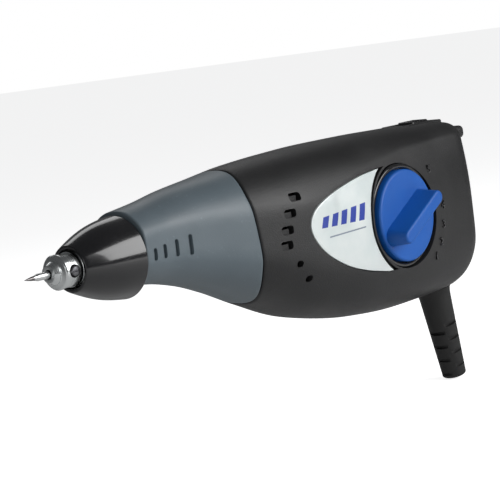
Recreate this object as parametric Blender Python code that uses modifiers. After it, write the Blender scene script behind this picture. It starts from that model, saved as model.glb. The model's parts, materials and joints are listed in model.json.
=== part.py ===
"""Electric engraving tool: a hand-held electromagnetic engraver with a reciprocating point.

Sizes are in millimetres in the tool frame, and every mesh is written in metres. In the tool
frame X runs along the hammer axis from the tip of the point (x = 0) to the rear, Z is up and
the stroke dial is on the -Y side. The empty "tool_axis" carries the tool frame and puts the
part's origin at the centre of its bounding box.
"""

import math

import bmesh
import bpy
from mathutils import Matrix, Vector

MM = 0.001
GAP = 0.3                      # between neighbouring pieces
RUNNING_GAP = 0.12             # between the hammer shaft and its bushes

# Where the tool frame's origin lies in the part's frame
TOOL_ORIGIN = (-95.7, 4.0, 23.3)

# Body sections: station, top, bottom, half width, and the fullness of the lower and of the
# upper half (2 is an ellipse)
SECTIONS = (
    (36.0, 13.0, -8.5, 11.9, 2.0, 2.0),
    (46.0, 14.3, -9.7, 12.0, 2.0, 2.0),
    (58.0, 16.2, -12.5, 14.0, 2.1, 2.1),
    (72.0, 17.7, -17.5, 17.2, 2.2, 2.2),
    (88.0, 19.4, -24.5, 20.3, 2.3, 2.3),
    (106.0, 20.3, -31.4, 22.6, 2.5, 2.5),
    (126.0, 20.8, -35.3, 23.6, 2.7, 2.7),
    (146.0, 20.7, -36.6, 23.2, 2.8, 2.9),
    (166.0, 20.2, -36.2, 21.9, 2.9, 3.4),
    (180.0, 19.7, -35.5, 20.4, 2.9, 4.0),
    (190.0, 19.2, -34.5, 19.0, 2.9, 4.4),
)
RING_POINTS = 32
SIDE_FLAT = 0.8                # how far the bulge of each side is flattened
WALL = 2.4                     # housing wall
SLEEVE_WALL = 2.2

# Rear end
REAR = 190.0
REAR_RADIUS_BOTTOM = 15.0
REAR_RADIUS_TOP = 3.0
REAR_RADIUS_SIDE = 11.0

# Joint between grip sleeve and housing: nearly straight at mid height, it sweeps to the
# rear above and below
SEAM_MIDDLE = 77.5
SEAM_SLOPE = -2.0
SEAM_BOW = -1.0
SEAM_SWEEP = 6.0
SEAM_FADE = 30.0               # length over which the stations lose the seam's curve
SEAM_STATION = 80.0
NECK_FRONT = 69.6              # housing's neck inside the sleeve

# Nose
NOSE_FRONT = 16.9
NOSE_REAR = 36.3
NOSE_FRONT_RADIUS = 6.64
NOSE_REAR_RADIUS = 12.1
SPIGOT_RADIUS = 5.6
SPIGOT_END = 44.0

# Hammer
SHAFT_RADIUS = 2.5
TAIL_RADIUS = 1.6
SHAFT_FRONT = 16.6
SHAFT_SHOULDER = 91.7
TAIL_END = 132.0
CHUCK_FRONT = 8.8
CHUCK_REAR = 20.0
CHUCK_RADIUS = 5.0
POINT_RADIUS = 1.05
CLAMP_SCREW_X = 14.3

# Magnet
CORE_FRONT = 100.5
CORE_REAR = 128.0
CORE_HALF_HEIGHT = 14.5
CORE_HALF_DEPTH = 7.0
LEG_HALF_HEIGHT = 4.5
WINDOW_TOP = 10.5
WINDOW_REAR = 122.0
SPRING_SEAT_RADIUS = 3.4
SPRING_SEAT_DEPTH = 12.0
CORE_SCREW_X = 125.3
CORE_SCREW_Z = 11.5

# Stroke dial
DIAL_X = 141.8
DIAL_Z = -5.7
DIAL_TILT = math.radians(2.0)  # the dial's face turns this much towards the rear
DIAL_FACE = 23.0               # distance of the disc's face from the tool's mid plane
DIAL_RADIUS = 14.6
DIAL_THICK = 4.6
BAR_HEIGHT = 7.3
BAR_TIP = 11.5
BAR_HEEL = -14.0
BAR_FOOT_WIDTH = 6.8           # the grip bar tapers from its foot to its top
BAR_TOP_WIDTH = 4.4
POINTER_ANGLE = math.radians(29.0)
WELL_RADIUS = 16.7
BEZEL_FLANGE = 18.6
FLANGE_DEPTH = 4.9             # from the disc's face to the bezel's flange
BEZEL_DROP = 1.7               # the bezel's face lies this far below the disc's
SHAFT_BORE = 3.4
ECCENTRIC = 0.8
ECCENTRIC_ANGLE = math.radians(-66.0)
PIN_RADIUS = 1.5

# Label plate: its bowed front edge from the lower to the upper corner, and the radius
# of its rear edge round the dial
LABEL_EDGE = ((129.8, -21.4), (120.2, -19.4), (111.1, -16.4), (102.8, -11.5), (98.3, -6.4),
              (96.9, -1.8), (99.0, 2.2), (104.3, 5.2), (111.9, 7.4), (122.5, 9.5), (132.4, 10.5))
LABEL_ARC = 18.6
LABEL_CENTRE_Z = -5.5

# Cord exit
BOOT_X = 179.5
BOOT_Z = -32.0
BOOT_TILT = math.radians(11.3)
BOOT_END = 36.0
BOOT_ROOT_RADIUS = 5.5
BOOT_END_RADIUS = 4.1
BOOT_BORE = 2.9
BOOT_INNER_RADIUS = 4.2
BOOT_INNER_END = -17.5
HEEL_TOP = 2.6

# Fasteners
SHELL_BOSSES = ((103.0, -22.0), (133.0, 15.3), (181.0, -6.0), (158.0, -29.0))
BOSS_RADIUS = 4.0
CORE_POSTS = ((CORE_SCREW_X, CORE_SCREW_Z), (CORE_SCREW_X, -CORE_SCREW_Z))
GUIDE_POSTS = ((153.5, -0.8), (153.5, -9.2))
CLAMP_OFFSET = 7.4
CLAMP_STATION = -14.0
TERMINAL_SCREWS = ((160.5, -12.5), (166.5, -12.5))

# Switch
SLOT_FRONT = 172.0
SLOT_REAR = 185.0
BUTTON_FRONT = 176.2
BUTTON_REAR = 184.7
PAD_TOP = 20.2
BUTTON_TOP = 20.9

COLOURS = {
    "black_plastic": ((0.03, 0.03, 0.032), 0.45, 0.0),
    "gloss_black": ((0.012, 0.012, 0.013), 0.18, 0.0),
    "grey_plastic": ((0.19, 0.24, 0.27), 0.42, 0.0),
    "blue_plastic": ((0.0, 0.12, 0.62), 0.3, 0.0),
    "label": ((0.75, 0.79, 0.78), 0.35, 0.0),
    "rubber": ((0.018, 0.018, 0.018), 0.7, 0.0),
    "steel": ((0.62, 0.62, 0.6), 0.28, 1.0),
    "dark_steel": ((0.25, 0.25, 0.26), 0.4, 1.0),
    "carbide": ((0.3, 0.3, 0.31), 0.3, 1.0),
    "bronze": ((0.5, 0.3, 0.12), 0.35, 1.0),
    "copper": ((0.65, 0.26, 0.12), 0.35, 1.0),
    "nylon": ((0.7, 0.68, 0.6), 0.5, 0.0),
    "felt": ((0.3, 0.29, 0.26), 0.95, 0.0),
    "wire": ((0.35, 0.02, 0.02), 0.5, 0.0),
}


# ---------------------------------------------------------------- scene helpers

def new_collection(name):
    collection = bpy.data.collections.new(name)
    bpy.context.scene.collection.children.link(collection)
    return collection


def new_material(name):
    colour, roughness, metallic = COLOURS[name]
    material = bpy.data.materials.new(name)
    material.use_nodes = True
    shader = material.node_tree.nodes["Principled BSDF"]
    shader.inputs["Base Color"].default_value = (*colour, 1.0)
    shader.inputs["Roughness"].default_value = roughness
    shader.inputs["Metallic"].default_value = metallic
    return material


def new_empty(name, place, matrix=None, parent=None):
    """An empty at a place in millimetres, with an optional rotation."""
    empty = bpy.data.objects.new(name, None)
    PARTS.objects.link(empty)
    turn = matrix.to_4x4() if matrix else Matrix.Identity(4)
    empty.matrix_local = Matrix.Translation(Vector(place) * MM) @ turn
    empty.parent = parent
    return empty


def finish(name, bm, material, parent, turn=None, place=(0.0, 0.0, 0.0)):
    """Turn a bmesh in millimetres into a named, coloured object."""
    bmesh.ops.scale(bm, vec=(MM, MM, MM), verts=bm.verts)
    mesh = bpy.data.meshes.new(name)
    bm.to_mesh(mesh)
    bm.free()
    obj = bpy.data.objects.new(name, mesh)
    if material is None:
        CUTTERS.objects.link(obj)
        obj.hide_render = True
        obj.display_type = "WIRE"
    else:
        PARTS.objects.link(obj)
        mesh.materials.append(new_material(material))
        obj.data.materials[0].name = name
    obj.matrix_local = Matrix.Translation(Vector(place) * MM) @ (turn or Matrix.Identity(4))
    obj.parent = parent or TOOL_AXIS
    return obj


def boolean(obj, cutter, operation="DIFFERENCE"):
    modifier = obj.modifiers.new(operation.lower(), "BOOLEAN")
    modifier.operation = operation
    modifier.solver = "EXACT"
    modifier.object = cutter
    return obj


def bevel(obj, width, segments=2, angle=35.0):
    modifier = obj.modifiers.new("rounded_edges", "BEVEL")
    modifier.width = width * MM
    modifier.segments = segments
    modifier.limit_method = "ANGLE"
    modifier.angle_limit = math.radians(angle)
    return obj


# ---------------------------------------------------------------- simple solids

def add_box(bm, low, high):
    size = [b - a for a, b in zip(low, high)]
    centre = [(a + b) / 2 for a, b in zip(low, high)]
    matrix = Matrix.Translation(centre) @ Matrix.Diagonal((*size, 1.0))
    bmesh.ops.create_cube(bm, size=1.0, matrix=matrix)


def add_cylinder(bm, start, end, radius, segments=20):
    start, end = Vector(start), Vector(end)
    axis = end - start
    turn = axis.to_track_quat("Z", "Y").to_matrix().to_4x4()
    matrix = Matrix.Translation((start + end) / 2) @ turn
    bmesh.ops.create_cone(
        bm, cap_ends=True, segments=segments, radius1=radius, radius2=radius,
        depth=axis.length, matrix=matrix)


def boxes(name, corners, material=None, parent=None):
    bm = bmesh.new()
    for low, high in corners:
        add_box(bm, low, high)
    return finish(name, bm, material, parent)


def cylinders(name, pieces, material=None, parent=None, segments=16):
    bm = bmesh.new()
    for start, end, radius in pieces:
        add_cylinder(bm, start, end, radius, segments)
    return finish(name, bm, material, parent)


def turned(name, profile, material=None, parent=None, ring=False, steps=24, along_x=True):
    """Revolve (radius, station) points, listed from the far end down the outer side.

    Stations run along the hammer axis, or along the parent's own Z when along_x is False.
    """
    bm = bmesh.new()
    verts = [bm.verts.new((radius, 0.0, station)) for radius, station in profile]
    pairs = list(zip(verts, verts[1:]))
    if ring:
        pairs.append((verts[-1], verts[0]))
    for a, b in pairs:
        bm.edges.new((a, b))
    turn = Matrix.Rotation(math.pi / 2, 4, "Y") if along_x else None
    obj = finish(name, bm, material, parent, turn)
    screw = obj.modifiers.new("revolve", "SCREW")
    screw.axis = "Z"
    screw.steps = steps
    screw.render_steps = steps
    screw.use_merge_vertices = True
    screw.merge_threshold = 0.000001
    screw.use_smooth_shade = True
    return obj


def to_mesh_object(source, name, material, parent):
    """Replace a curve object by a closed mesh object in the same place."""
    depsgraph = bpy.context.evaluated_depsgraph_get()
    mesh = bpy.data.meshes.new_from_object(source.evaluated_get(depsgraph))
    bm = bmesh.new()
    bm.from_mesh(mesh)
    bmesh.ops.remove_doubles(bm, verts=bm.verts, dist=0.000001)
    bmesh.ops.scale(bm, vec=(1 / MM, 1 / MM, 1 / MM), verts=bm.verts)
    obj = finish(name, bm, material, parent)
    obj.matrix_local = source.matrix_local.copy()
    bpy.data.objects.remove(source)
    return obj


def plate(name, outline, thickness, material=None, parent=None, turn=None, place=(0, 0, 0)):
    """A flat outline in its own XY plane, thickened evenly to both sides."""
    curve = bpy.data.curves.new(name + "_outline", "CURVE")
    curve.dimensions = "2D"
    curve.fill_mode = "BOTH"
    curve.extrude = thickness / 2 * MM
    spline = curve.splines.new("POLY")
    spline.points.add(len(outline) - 1)
    for point, (x, y) in zip(spline.points, outline):
        point.co = (x * MM, y * MM, 0.0, 1.0)
    spline.use_cyclic_u = True
    source = bpy.data.objects.new(name + "_outline", curve)
    PARTS.objects.link(source)
    source.matrix_local = Matrix.Translation(Vector(place) * MM) @ (turn or Matrix.Identity(4))
    return to_mesh_object(source, name, material, parent)


def wire(name, route, radius, material, bevel_resolution=2):
    """A round wire through points given in the tool frame."""
    curve = bpy.data.curves.new(name + "_route", "CURVE")
    curve.dimensions = "3D"
    curve.bevel_depth = radius * MM
    curve.bevel_resolution = bevel_resolution
    curve.use_fill_caps = True
    spline = curve.splines.new("POLY")
    spline.points.add(len(route) - 1)
    for point, place in zip(spline.points, route):
        point.co = (*(Vector(place) * MM), 1.0)
    source = bpy.data.objects.new(name + "_route", curve)
    PARTS.objects.link(source)
    return to_mesh_object(source, name, material, None)


def arc(centre, radius, start, end, steps):
    """Points of an arc, angles in degrees."""
    angles = [math.radians(start + (end - start) * i / steps) for i in range(steps + 1)]
    return [(centre[0] + radius * math.cos(a), centre[1] + radius * math.sin(a)) for a in angles]


def rounded_rectangle(centre, width, height, radius, steps=2):
    """Outline of a rectangle with round corners."""
    points = []
    for i, (sx, sy) in enumerate(((1, 1), (-1, 1), (-1, -1), (1, -1))):
        corner = (centre[0] + sx * (width / 2 - radius), centre[1] + sy * (height / 2 - radius))
        points += arc(corner, radius, 90 * i, 90 * (i + 1), steps)
    return points


def smooth_route(knots, steps=4):
    """Catmull-Rom points through the knots."""
    knots = [Vector(k) for k in knots]
    ends = [2 * knots[0] - knots[1], *knots, 2 * knots[-1] - knots[-2]]
    points = []
    for a, b, c, d in zip(ends, ends[1:], ends[2:], ends[3:]):
        for i in range(steps):
            t = i / steps
            points.append(0.5 * (2 * b + (c - a) * t + (2 * a - 5 * b + 4 * c - d) * t ** 2
                                 + (3 * b - a - 3 * c + d) * t ** 3))
    return points + [knots[-1]]


# ---------------------------------------------------------------- body surface

def through_sections(x, column):
    """Monotone cubic through one column of SECTIONS."""
    xs = [row[0] for row in SECTIONS]
    ys = [row[column] for row in SECTIONS]
    x = min(max(x, xs[0]), xs[-1])
    k = max(i for i in range(len(xs) - 1) if xs[i] <= x)
    slopes = [(ys[i + 1] - ys[i]) / (xs[i + 1] - xs[i]) for i in range(len(xs) - 1)]

    def tangent(i):
        if i == 0:
            return slopes[0]
        if i == len(xs) - 1:
            return slopes[-1]
        a, b = slopes[i - 1], slopes[i]
        return 2 * a * b / (a + b) if a * b > 0 else 0.0

    width = xs[k + 1] - xs[k]
    t = (x - xs[k]) / width
    return ((1 + 2 * t) * (1 - t) ** 2 * ys[k] + t * (1 - t) ** 2 * width * tangent(k)
            + t * t * (3 - 2 * t) * ys[k + 1] - t * t * (1 - t) * width * tangent(k + 1))


def rear_inset(x, radius, end):
    """How much a corner of this radius takes off at station x, before the end face."""
    into = min(max(x - (end - radius), 0.0), radius)
    return radius - math.sqrt(radius * radius - into * into)


def body_point(x, angle, inset=0.0, end=REAR):
    """Point of the body surface at a section angle, 0 on +Y and 90 degrees on top."""
    shrink = inset / REAR_RADIUS_SIDE
    top = through_sections(x, 1) - inset - rear_inset(x, REAR_RADIUS_TOP, end)
    bottom = through_sections(x, 2) + inset
    bottom += rear_inset(x, REAR_RADIUS_BOTTOM * (1 - shrink / 2), end)
    half = through_sections(x, 3) - inset
    half -= rear_inset(x, REAR_RADIUS_SIDE * (1 - shrink / 2), end)
    c, s = math.cos(angle), math.sin(angle)
    power = 2.0 / through_sections(x, 5 if s > 0 else 4)
    y = math.copysign(abs(c) ** power, c) * half
    flat = half - SIDE_FLAT
    y = max(-flat, min(flat, y))
    level = math.copysign(abs(s) ** power, s)
    return y, (top + bottom) / 2 + level * (top - bottom) / 2, level


def seam_x(level):
    """Station of the sleeve's rear edge at a height level, -1 at the bottom and 1 on top."""
    return SEAM_MIDDLE + SEAM_SLOPE * level + SEAM_BOW * level ** 2 + SEAM_SWEEP * level ** 4


def ring(station, inset=0.0, follow_seam=True, end=REAR):
    """One section ring, from the bottom round the +Y side; it bends near the seam."""
    fade = max(0.0, 1 - abs(station - SEAM_STATION) / SEAM_FADE) if follow_seam else 0.0
    points = []
    for i in range(RING_POINTS):
        angle = -math.pi / 2 + 2 * math.pi * i / RING_POINTS
        level = body_point(station, angle, inset, end)[2]
        x = station + fade * (seam_x(level) - SEAM_STATION)
        y, z, _ = body_point(x, angle, inset, end)
        points.append((x, y, z))
    return points


def loft(name, rings, material=None):
    """A closed solid through section rings, its ends closed by level strips."""
    bm = bmesh.new()
    rows = [[bm.verts.new(point) for point in points] for points in rings]
    count = RING_POINTS
    for a, b in zip(rows, rows[1:]):
        for i in range(count):
            j = (i + 1) % count
            bm.faces.new((a[i], a[j], b[j], b[i]))
    for row in (rows[0], rows[-1]):
        bm.faces.new((row[0], row[1], row[count - 1]))
        bm.faces.new((row[count // 2], row[count // 2 - 1], row[count // 2 + 1]))
        for i in range(1, count // 2 - 1):
            bm.faces.new((row[i], row[i + 1], row[count - i - 1], row[count - i]))
    bmesh.ops.recalc_face_normals(bm, faces=bm.faces)
    return finish(name, bm, material, None)


def spread(start, end, count):
    return [start + (end - start) * i / (count - 1) for i in range(count)]


def side_surface(x, z):
    """Half width of the body at a station and height."""
    top, bottom = through_sections(x, 1), through_sections(x, 2)
    level = (z - (top + bottom) / 2) / ((top - bottom) / 2)
    fullness = through_sections(x, 5 if level > 0 else 4)
    level = min(abs(level), 1.0)
    half = through_sections(x, 3)
    return min(half - SIDE_FLAT, half * (1 - level ** fullness) ** (1 / fullness))


# ---------------------------------------------------------------- housing and sleeve

def vent_prisms(name, side):
    """Six rounded openings in a curved column, as prisms across one side wall."""
    column = ((93.0, 7.8, 4.6, 2.6), (89.6, 3.3, 4.6, 2.6), (87.8, -1.5, 4.6, 2.6),
              (86.9, -5.9, 4.6, 2.6), (91.3, -12.2, 2.4, 2.0), (95.4, -17.4, 2.4, 2.0))
    bm = bmesh.new()
    for x, z, width, height in column:
        outline = rounded_rectangle((x, z), width, height, 0.9)
        near = [bm.verts.new((px, side * 8.0, pz)) for px, pz in outline]
        face = bm.faces.new(near)
        grown = bmesh.ops.extrude_face_region(bm, geom=[face])
        moved = [v for v in grown["geom"] if isinstance(v, bmesh.types.BMVert)]
        bmesh.ops.translate(bm, vec=(0.0, side * 22.0, 0.0), verts=moved)
    bmesh.ops.recalc_face_normals(bm, faces=bm.faces)
    return finish(name, bm, None, None)


def housing_outside(name):
    """The whole black housing as one solid, with its neck, switch pad and rear lip."""
    stations = spread(SEAM_STATION, 110.0, 5) + [122.0, 136.0, 150.0, 164.0, 175.0]
    stations += [180.0, 184.0, 187.2, 189.2, REAR]
    shell = loft(name, [ring(s) for s in stations], None)
    neck = loft(name + "_neck",
                [ring(s, SLEEVE_WALL + GAP, False) for s in spread(NECK_FRONT, 92.0, 4)])
    boolean(shell, neck, "UNION")
    pad = boxes(name + "_pad", [((170.6, -6.2, 10.0), (188.4, 6.2, PAD_TOP))])
    bevel(pad, 0.7, 1)
    boolean(shell, pad, "UNION")
    lip = boxes(name + "_lip", [((181.0, -13.0, 13.2), (191.4, 13.0, 17.4))])
    bevel(lip, 1.2, 2)
    boolean(shell, lip, "UNION")
    return shell


def housing_cavity(name, posts):
    """The room inside the housing, less the posts that stand in it."""
    stations = [66.0, 76.0, 87.0]
    rings = [ring(s, SLEEVE_WALL + GAP + 1.8, False) for s in stations]
    end = REAR - WALL
    stations = [90.0, 100.0, 112.0, 126.0, 144.0, 162.0, 174.0, 180.0, 184.0, 186.4, end]
    rings += [ring(s, WALL, False, end) for s in stations]
    cavity = loft(name, rings)
    return boolean(cavity, cylinders(name + "_posts", posts))


def boot_place(across, along, y=0.0):
    """A place in the tool frame from the cord axis: across it (rearwards) and along it."""
    x = BOOT_X + across * math.cos(BOOT_TILT) + along * math.sin(BOOT_TILT)
    z = BOOT_Z + across * math.sin(BOOT_TILT) - along * math.cos(BOOT_TILT)
    return x, y, z


def clamp_posts():
    return [boot_place(offset, CLAMP_STATION) for offset in (-CLAMP_OFFSET, CLAMP_OFFSET)]


def shared_cuts(shell, name):
    """Openings that both shells take: cord hole, heel seat and switch slot."""
    bm = bmesh.new()
    add_cylinder(bm, boot_place(0, -6), boot_place(0, 20), BOOT_ROOT_RADIUS + GAP, 20)
    hole = finish(name + "_cord_hole", bm, None, None)
    boolean(shell, hole)
    seat = heel_solid(name + "_heel_seat", GAP, None)
    boolean(shell, seat)
    slot = boxes(name + "_switch_slot", [((SLOT_FRONT, -3.6, 14.0), (SLOT_REAR, 3.6, 24.0))])
    boolean(shell, slot)


def housing_left():
    shell = housing_outside("housing_left")
    shell.data.materials.append(new_material("black_plastic"))
    CUTTERS.objects.unlink(shell)
    PARTS.objects.link(shell)
    shell.hide_render = False
    shell.display_type = "TEXTURED"
    posts = [((x, -40, z), (x, 2, z), BOSS_RADIUS) for x, z in SHELL_BOSSES]
    boolean(shell, housing_cavity("left_cavity", posts))
    boolean(shell, boxes("left_seam_plane", [((60, -0.1, -60), (200, 50, 40))]))
    shared_cuts(shell, "left")
    pilots = [((x, -11, z), (x, 3, z), 1.6) for x, z in SHELL_BOSSES]
    boolean(shell, cylinders("left_pilots", pilots, segments=10))
    boolean(shell, vent_prisms("left_vents", -1))
    well = [((0, 0, -9), (0, 0, 10), WELL_RADIUS)]
    boolean(shell, cylinders("dial_well", well, None, DIAL_AXIS, 36))
    seat = [((0, 0, -9), (0, 0, GAP - FLANGE_DEPTH), BEZEL_FLANGE + GAP)]
    boolean(shell, cylinders("bezel_seat", seat, None, DIAL_AXIS, 36))
    recess = label_solid("label_recess", None, GAP, 1.3, 4.0)
    boolean(shell, recess)
    return shell


def housing_right():
    shell = housing_outside("housing_right")
    shell.data.materials.append(new_material("black_plastic"))
    CUTTERS.objects.unlink(shell)
    PARTS.objects.link(shell)
    shell.hide_render = False
    shell.display_type = "TEXTURED"
    posts = [((x, -2, z), (x, 40, z), BOSS_RADIUS) for x, z in SHELL_BOSSES]
    posts += [((x, CORE_HALF_DEPTH + GAP, z), (x, 40, z), 3.2) for x, z in CORE_POSTS]
    posts += [((x, 4.8, z), (x, 40, z), 3.2) for x, z in GUIDE_POSTS]
    posts += [((x, -2, z), (x, 40, z), 2.6) for x, _, z in clamp_posts()]
    posts += [((163.5, 6.3, -12.5), (163.5, 40, -12.5), 3.6)]
    boolean(shell, housing_cavity("right_cavity", posts))
    boolean(shell, boxes("right_seam_plane", [((60, -50, -60), (200, 0.1, 40))]))
    shared_cuts(shell, "right")
    holes = [((x, -1, z), (x, 14, z), 1.6) for x, z in SHELL_BOSSES]
    boolean(shell, cylinders("right_clearance", holes, segments=10))
    seats = [((x, 10.5, z), (x, 40, z), 2.8) for x, z in SHELL_BOSSES]
    boolean(shell, cylinders("right_screw_seats", seats, segments=12))
    pilots = [((x, 5, z), (x, 16, z), 1.6) for x, z in CORE_POSTS]
    pilots += [((x, 3, z), (x, 13, z), 1.5) for x, z in GUIDE_POSTS]
    pilots += [((x, -1, z), (x, 9, z), 1.4) for x, _, z in clamp_posts()]
    boolean(shell, cylinders("right_pilots", pilots, segments=10))
    boolean(shell, vent_prisms("right_vents", 1))
    return shell


def grip_sleeve():
    """Grey one-piece front sleeve with a front wall, a bore and four grip slots a side."""
    front = NOSE_REAR + GAP
    stations = [front, 42.0, 49.0, 56.0, 64.0, 72.0, SEAM_STATION - GAP]
    sleeve = loft("grip_sleeve", [ring(s, follow_seam=s > 50) for s in stations],
                  "grey_plastic")
    stations = [front + SLEEVE_WALL, 46.0, 56.0, 66.0, 78.0, 90.0]
    boolean(sleeve, loft("sleeve_cavity", [ring(s, SLEEVE_WALL, False) for s in stations]))
    bore = [((30, 0, 0), (45, 0, 0), SPIGOT_RADIUS + GAP)]
    boolean(sleeve, cylinders("sleeve_bore", bore, segments=24))
    slots = []
    for x, top, bottom in ((53.6, 3.4, -2.6), (48.7, 2.8, -2.2), (44.0, 2.2, -1.9),
                           (40.1, 1.7, -1.9)):
        depth = side_surface(x, 0.0) - 1.0
        for low, high in ((-40.0, -depth), (depth, 40.0)):
            slots.append(((x - 0.7, low, bottom), (x + 0.7, high, top)))
    return boolean(sleeve, boxes("sleeve_slots", slots))


def nose_cone():
    profile = [(SPIGOT_RADIUS, SPIGOT_END), (SPIGOT_RADIUS, NOSE_REAR),
               (NOSE_REAR_RADIUS - 0.5, NOSE_REAR), (NOSE_REAR_RADIUS, NOSE_REAR - 0.6)]
    steps = 4
    for i in range(1, steps):
        t = i / steps
        x = NOSE_REAR - 0.6 - t * (NOSE_REAR - 1.4 - NOSE_FRONT)
        bulge = 0.9 * math.sin(math.pi * t)
        radius = NOSE_REAR_RADIUS - t * (NOSE_REAR_RADIUS - NOSE_FRONT_RADIUS - 0.4) + bulge
        profile.append((radius, x))
    profile += [(NOSE_FRONT_RADIUS + 0.35, NOSE_FRONT + 0.6),
                (NOSE_FRONT_RADIUS, NOSE_FRONT), (5.75, NOSE_FRONT), (5.55, NOSE_FRONT + 0.4),
                (5.55, 21.6), (6.1, 21.6), (6.1, 25.0), (4.9, 25.0), (4.9, SPIGOT_END)]
    return turned("nose_cone", profile, "gloss_black", ring=True, steps=28)


def front_bush():
    bore = SHAFT_RADIUS + RUNNING_GAP
    profile = [(5.3, 45.5), (5.3, SPIGOT_END + GAP), (4.6, SPIGOT_END + GAP), (4.6, 25.6),
               (bore, 25.6), (bore, 45.5)]
    return turned("front_bush", profile, "bronze", ring=True)


def dust_seal():
    profile = [(5.8, 24.7), (5.8, 22.0), (SHAFT_RADIUS + GAP, 22.0), (SHAFT_RADIUS + GAP, 24.7)]
    return turned("dust_seal", profile, "felt", ring=True)


def bulkhead():
    inset = SLEEVE_WALL + GAP
    disc = loft("bulkhead", [ring(s, inset, False) for s in (66.0, 69.0)], "black_plastic")
    return boolean(disc, cylinders("bulkhead_bore", [((60, 0, 0), (75, 0, 0), 4.6)]))


def rear_bush():
    bore = SHAFT_RADIUS + RUNNING_GAP
    profile = [(6.2, 70.6), (6.2, 69.3), (4.3, 69.3), (4.3, 64.8), (bore, 64.8), (bore, 70.6)]
    return turned("rear_bush", profile, "bronze", ring=True)


def bumper():
    bore = SHAFT_RADIUS + GAP
    profile = [(5.6, 76.6), (6.0, 76.2), (6.0, 71.3), (5.6, 70.9), (bore, 70.9), (bore, 76.6)]
    return turned("front_bumper", profile, "rubber", ring=True)


# ---------------------------------------------------------------- hammer

def hammer_shaft():
    profile = [(0.0, TAIL_END), (TAIL_RADIUS - 0.3, TAIL_END), (TAIL_RADIUS, TAIL_END - 0.3),
               (TAIL_RADIUS, SHAFT_SHOULDER), (SHAFT_RADIUS, SHAFT_SHOULDER),
               (SHAFT_RADIUS, 79.8), (5.5, 79.8), (5.5, 77.0), (SHAFT_RADIUS, 77.0),
               (SHAFT_RADIUS, CHUCK_REAR + GAP), (TAIL_RADIUS, CHUCK_REAR + GAP),
               (TAIL_RADIUS, SHAFT_FRONT), (0.0, SHAFT_FRONT)]
    return turned("hammer_shaft", profile, "steel", steps=20)


def point_chuck():
    profile = [(0.0, 16.2), (TAIL_RADIUS + GAP, 16.2), (TAIL_RADIUS + GAP, CHUCK_REAR),
               (CHUCK_RADIUS - 0.5, CHUCK_REAR), (CHUCK_RADIUS, CHUCK_REAR - 0.5),
               (CHUCK_RADIUS, 11.6), (CHUCK_RADIUS - 0.5, 11.0), (3.2, 10.4),
               (2.5, CHUCK_FRONT), (POINT_RADIUS + GAP, CHUCK_FRONT),
               (POINT_RADIUS + GAP, 15.5), (0.0, 15.5)]
    chuck = turned("point_chuck", profile, "steel", steps=24)
    hole = [((CLAMP_SCREW_X, -7, 0), (CLAMP_SCREW_X, -0.4, 0), 1.75)]
    return boolean(chuck, cylinders("chuck_screw_hole", hole, segments=18))


def clamp_screw():
    parent = new_empty("clamp_screw_axis", (CLAMP_SCREW_X, 0, 0),
                       Matrix.Rotation(math.pi / 2, 3, "X"), TOOL_AXIS)
    profile = [(0.0, 5.6), (1.15, 5.6), (1.45, 5.3), (1.45, 2.2), (1.0, POINT_RADIUS + GAP),
               (0.0, POINT_RADIUS + GAP)]
    screw = turned("clamp_screw", profile, "dark_steel", parent, along_x=False, steps=14)
    slot = boxes("clamp_screw_slot", [((-3, -0.22, 4.9), (3, 0.22, 7))], None, parent)
    return boolean(screw, slot)


def engraving_point():
    profile = [(0.0, 15.2), (POINT_RADIUS - 0.2, 15.2), (POINT_RADIUS, 14.9),
               (POINT_RADIUS, 4.6), (0.62, 3.2), (0.55, 2.4), (0.12, 0.2), (0.0, 0.0)]
    return turned("engraving_point", profile, "carbide", steps=16)


def armature():
    half_z, half_y = CORE_HALF_HEIGHT, CORE_HALF_DEPTH
    block = boxes("armature", [((SHAFT_SHOULDER + GAP, -half_y, -half_z),
                                (97.9, half_y, half_z))], "dark_steel")
    bevel(block, 0.6, 1)
    bore = [((88, 0, 0), (102, 0, 0), TAIL_RADIUS + GAP)]
    return boolean(block, cylinders("armature_bore", bore))


def retaining_clip():
    profile = [(3.0, 99.0), (3.0, 98.2), (TAIL_RADIUS + GAP, 98.2), (TAIL_RADIUS + GAP, 99.0)]
    clip = turned("retaining_clip", profile, "steel", ring=True, steps=20)
    return boolean(clip, boxes("clip_mouth", [((97, -1.2, 0.5), (101, 1.2, 5))]))


def return_spring():
    start, end = 99.8, CORE_FRONT + SPRING_SEAT_DEPTH - 0.7
    turns, per_turn, radius = 5, 9, 2.6
    route = []
    for i in range(turns * per_turn + 1):
        angle = 2 * math.pi * i / per_turn
        x = start + (end - start) * i / (turns * per_turn)
        route.append((x, radius * math.cos(angle), radius * math.sin(angle)))
    return wire("return_spring", route, 0.35, "steel", 1)


# ---------------------------------------------------------------- magnet

def core_stack():
    half_z, half_y = CORE_HALF_HEIGHT, CORE_HALF_DEPTH
    core = boxes("core_stack", [((CORE_FRONT, -half_y, -half_z), (CORE_REAR, half_y, half_z))],
                 "dark_steel")
    windows = [((90, -20, LEG_HALF_HEIGHT), (WINDOW_REAR, 20, WINDOW_TOP)),
               ((90, -20, -WINDOW_TOP), (WINDOW_REAR, 20, -LEG_HALF_HEIGHT))]
    boolean(core, boxes("core_windows", windows))
    seat_end = CORE_FRONT + SPRING_SEAT_DEPTH
    boolean(core, cylinders("core_spring_seat", [((95, 0, 0), (seat_end, 0, 0),
                                                  SPRING_SEAT_RADIUS)]))
    boolean(core, cylinders("core_bore", [((95, 0, 0), (140, 0, 0), TAIL_RADIUS + GAP)]))
    holes = [((x, -12, z), (x, 12, z), 1.6) for x, z in CORE_POSTS]
    return boolean(core, cylinders("core_holes", holes, segments=14))


def square_tube_hole(name, half_y, half_z):
    return boxes(name, [((80, -half_y, -half_z), (140, half_y, half_z))])


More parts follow.
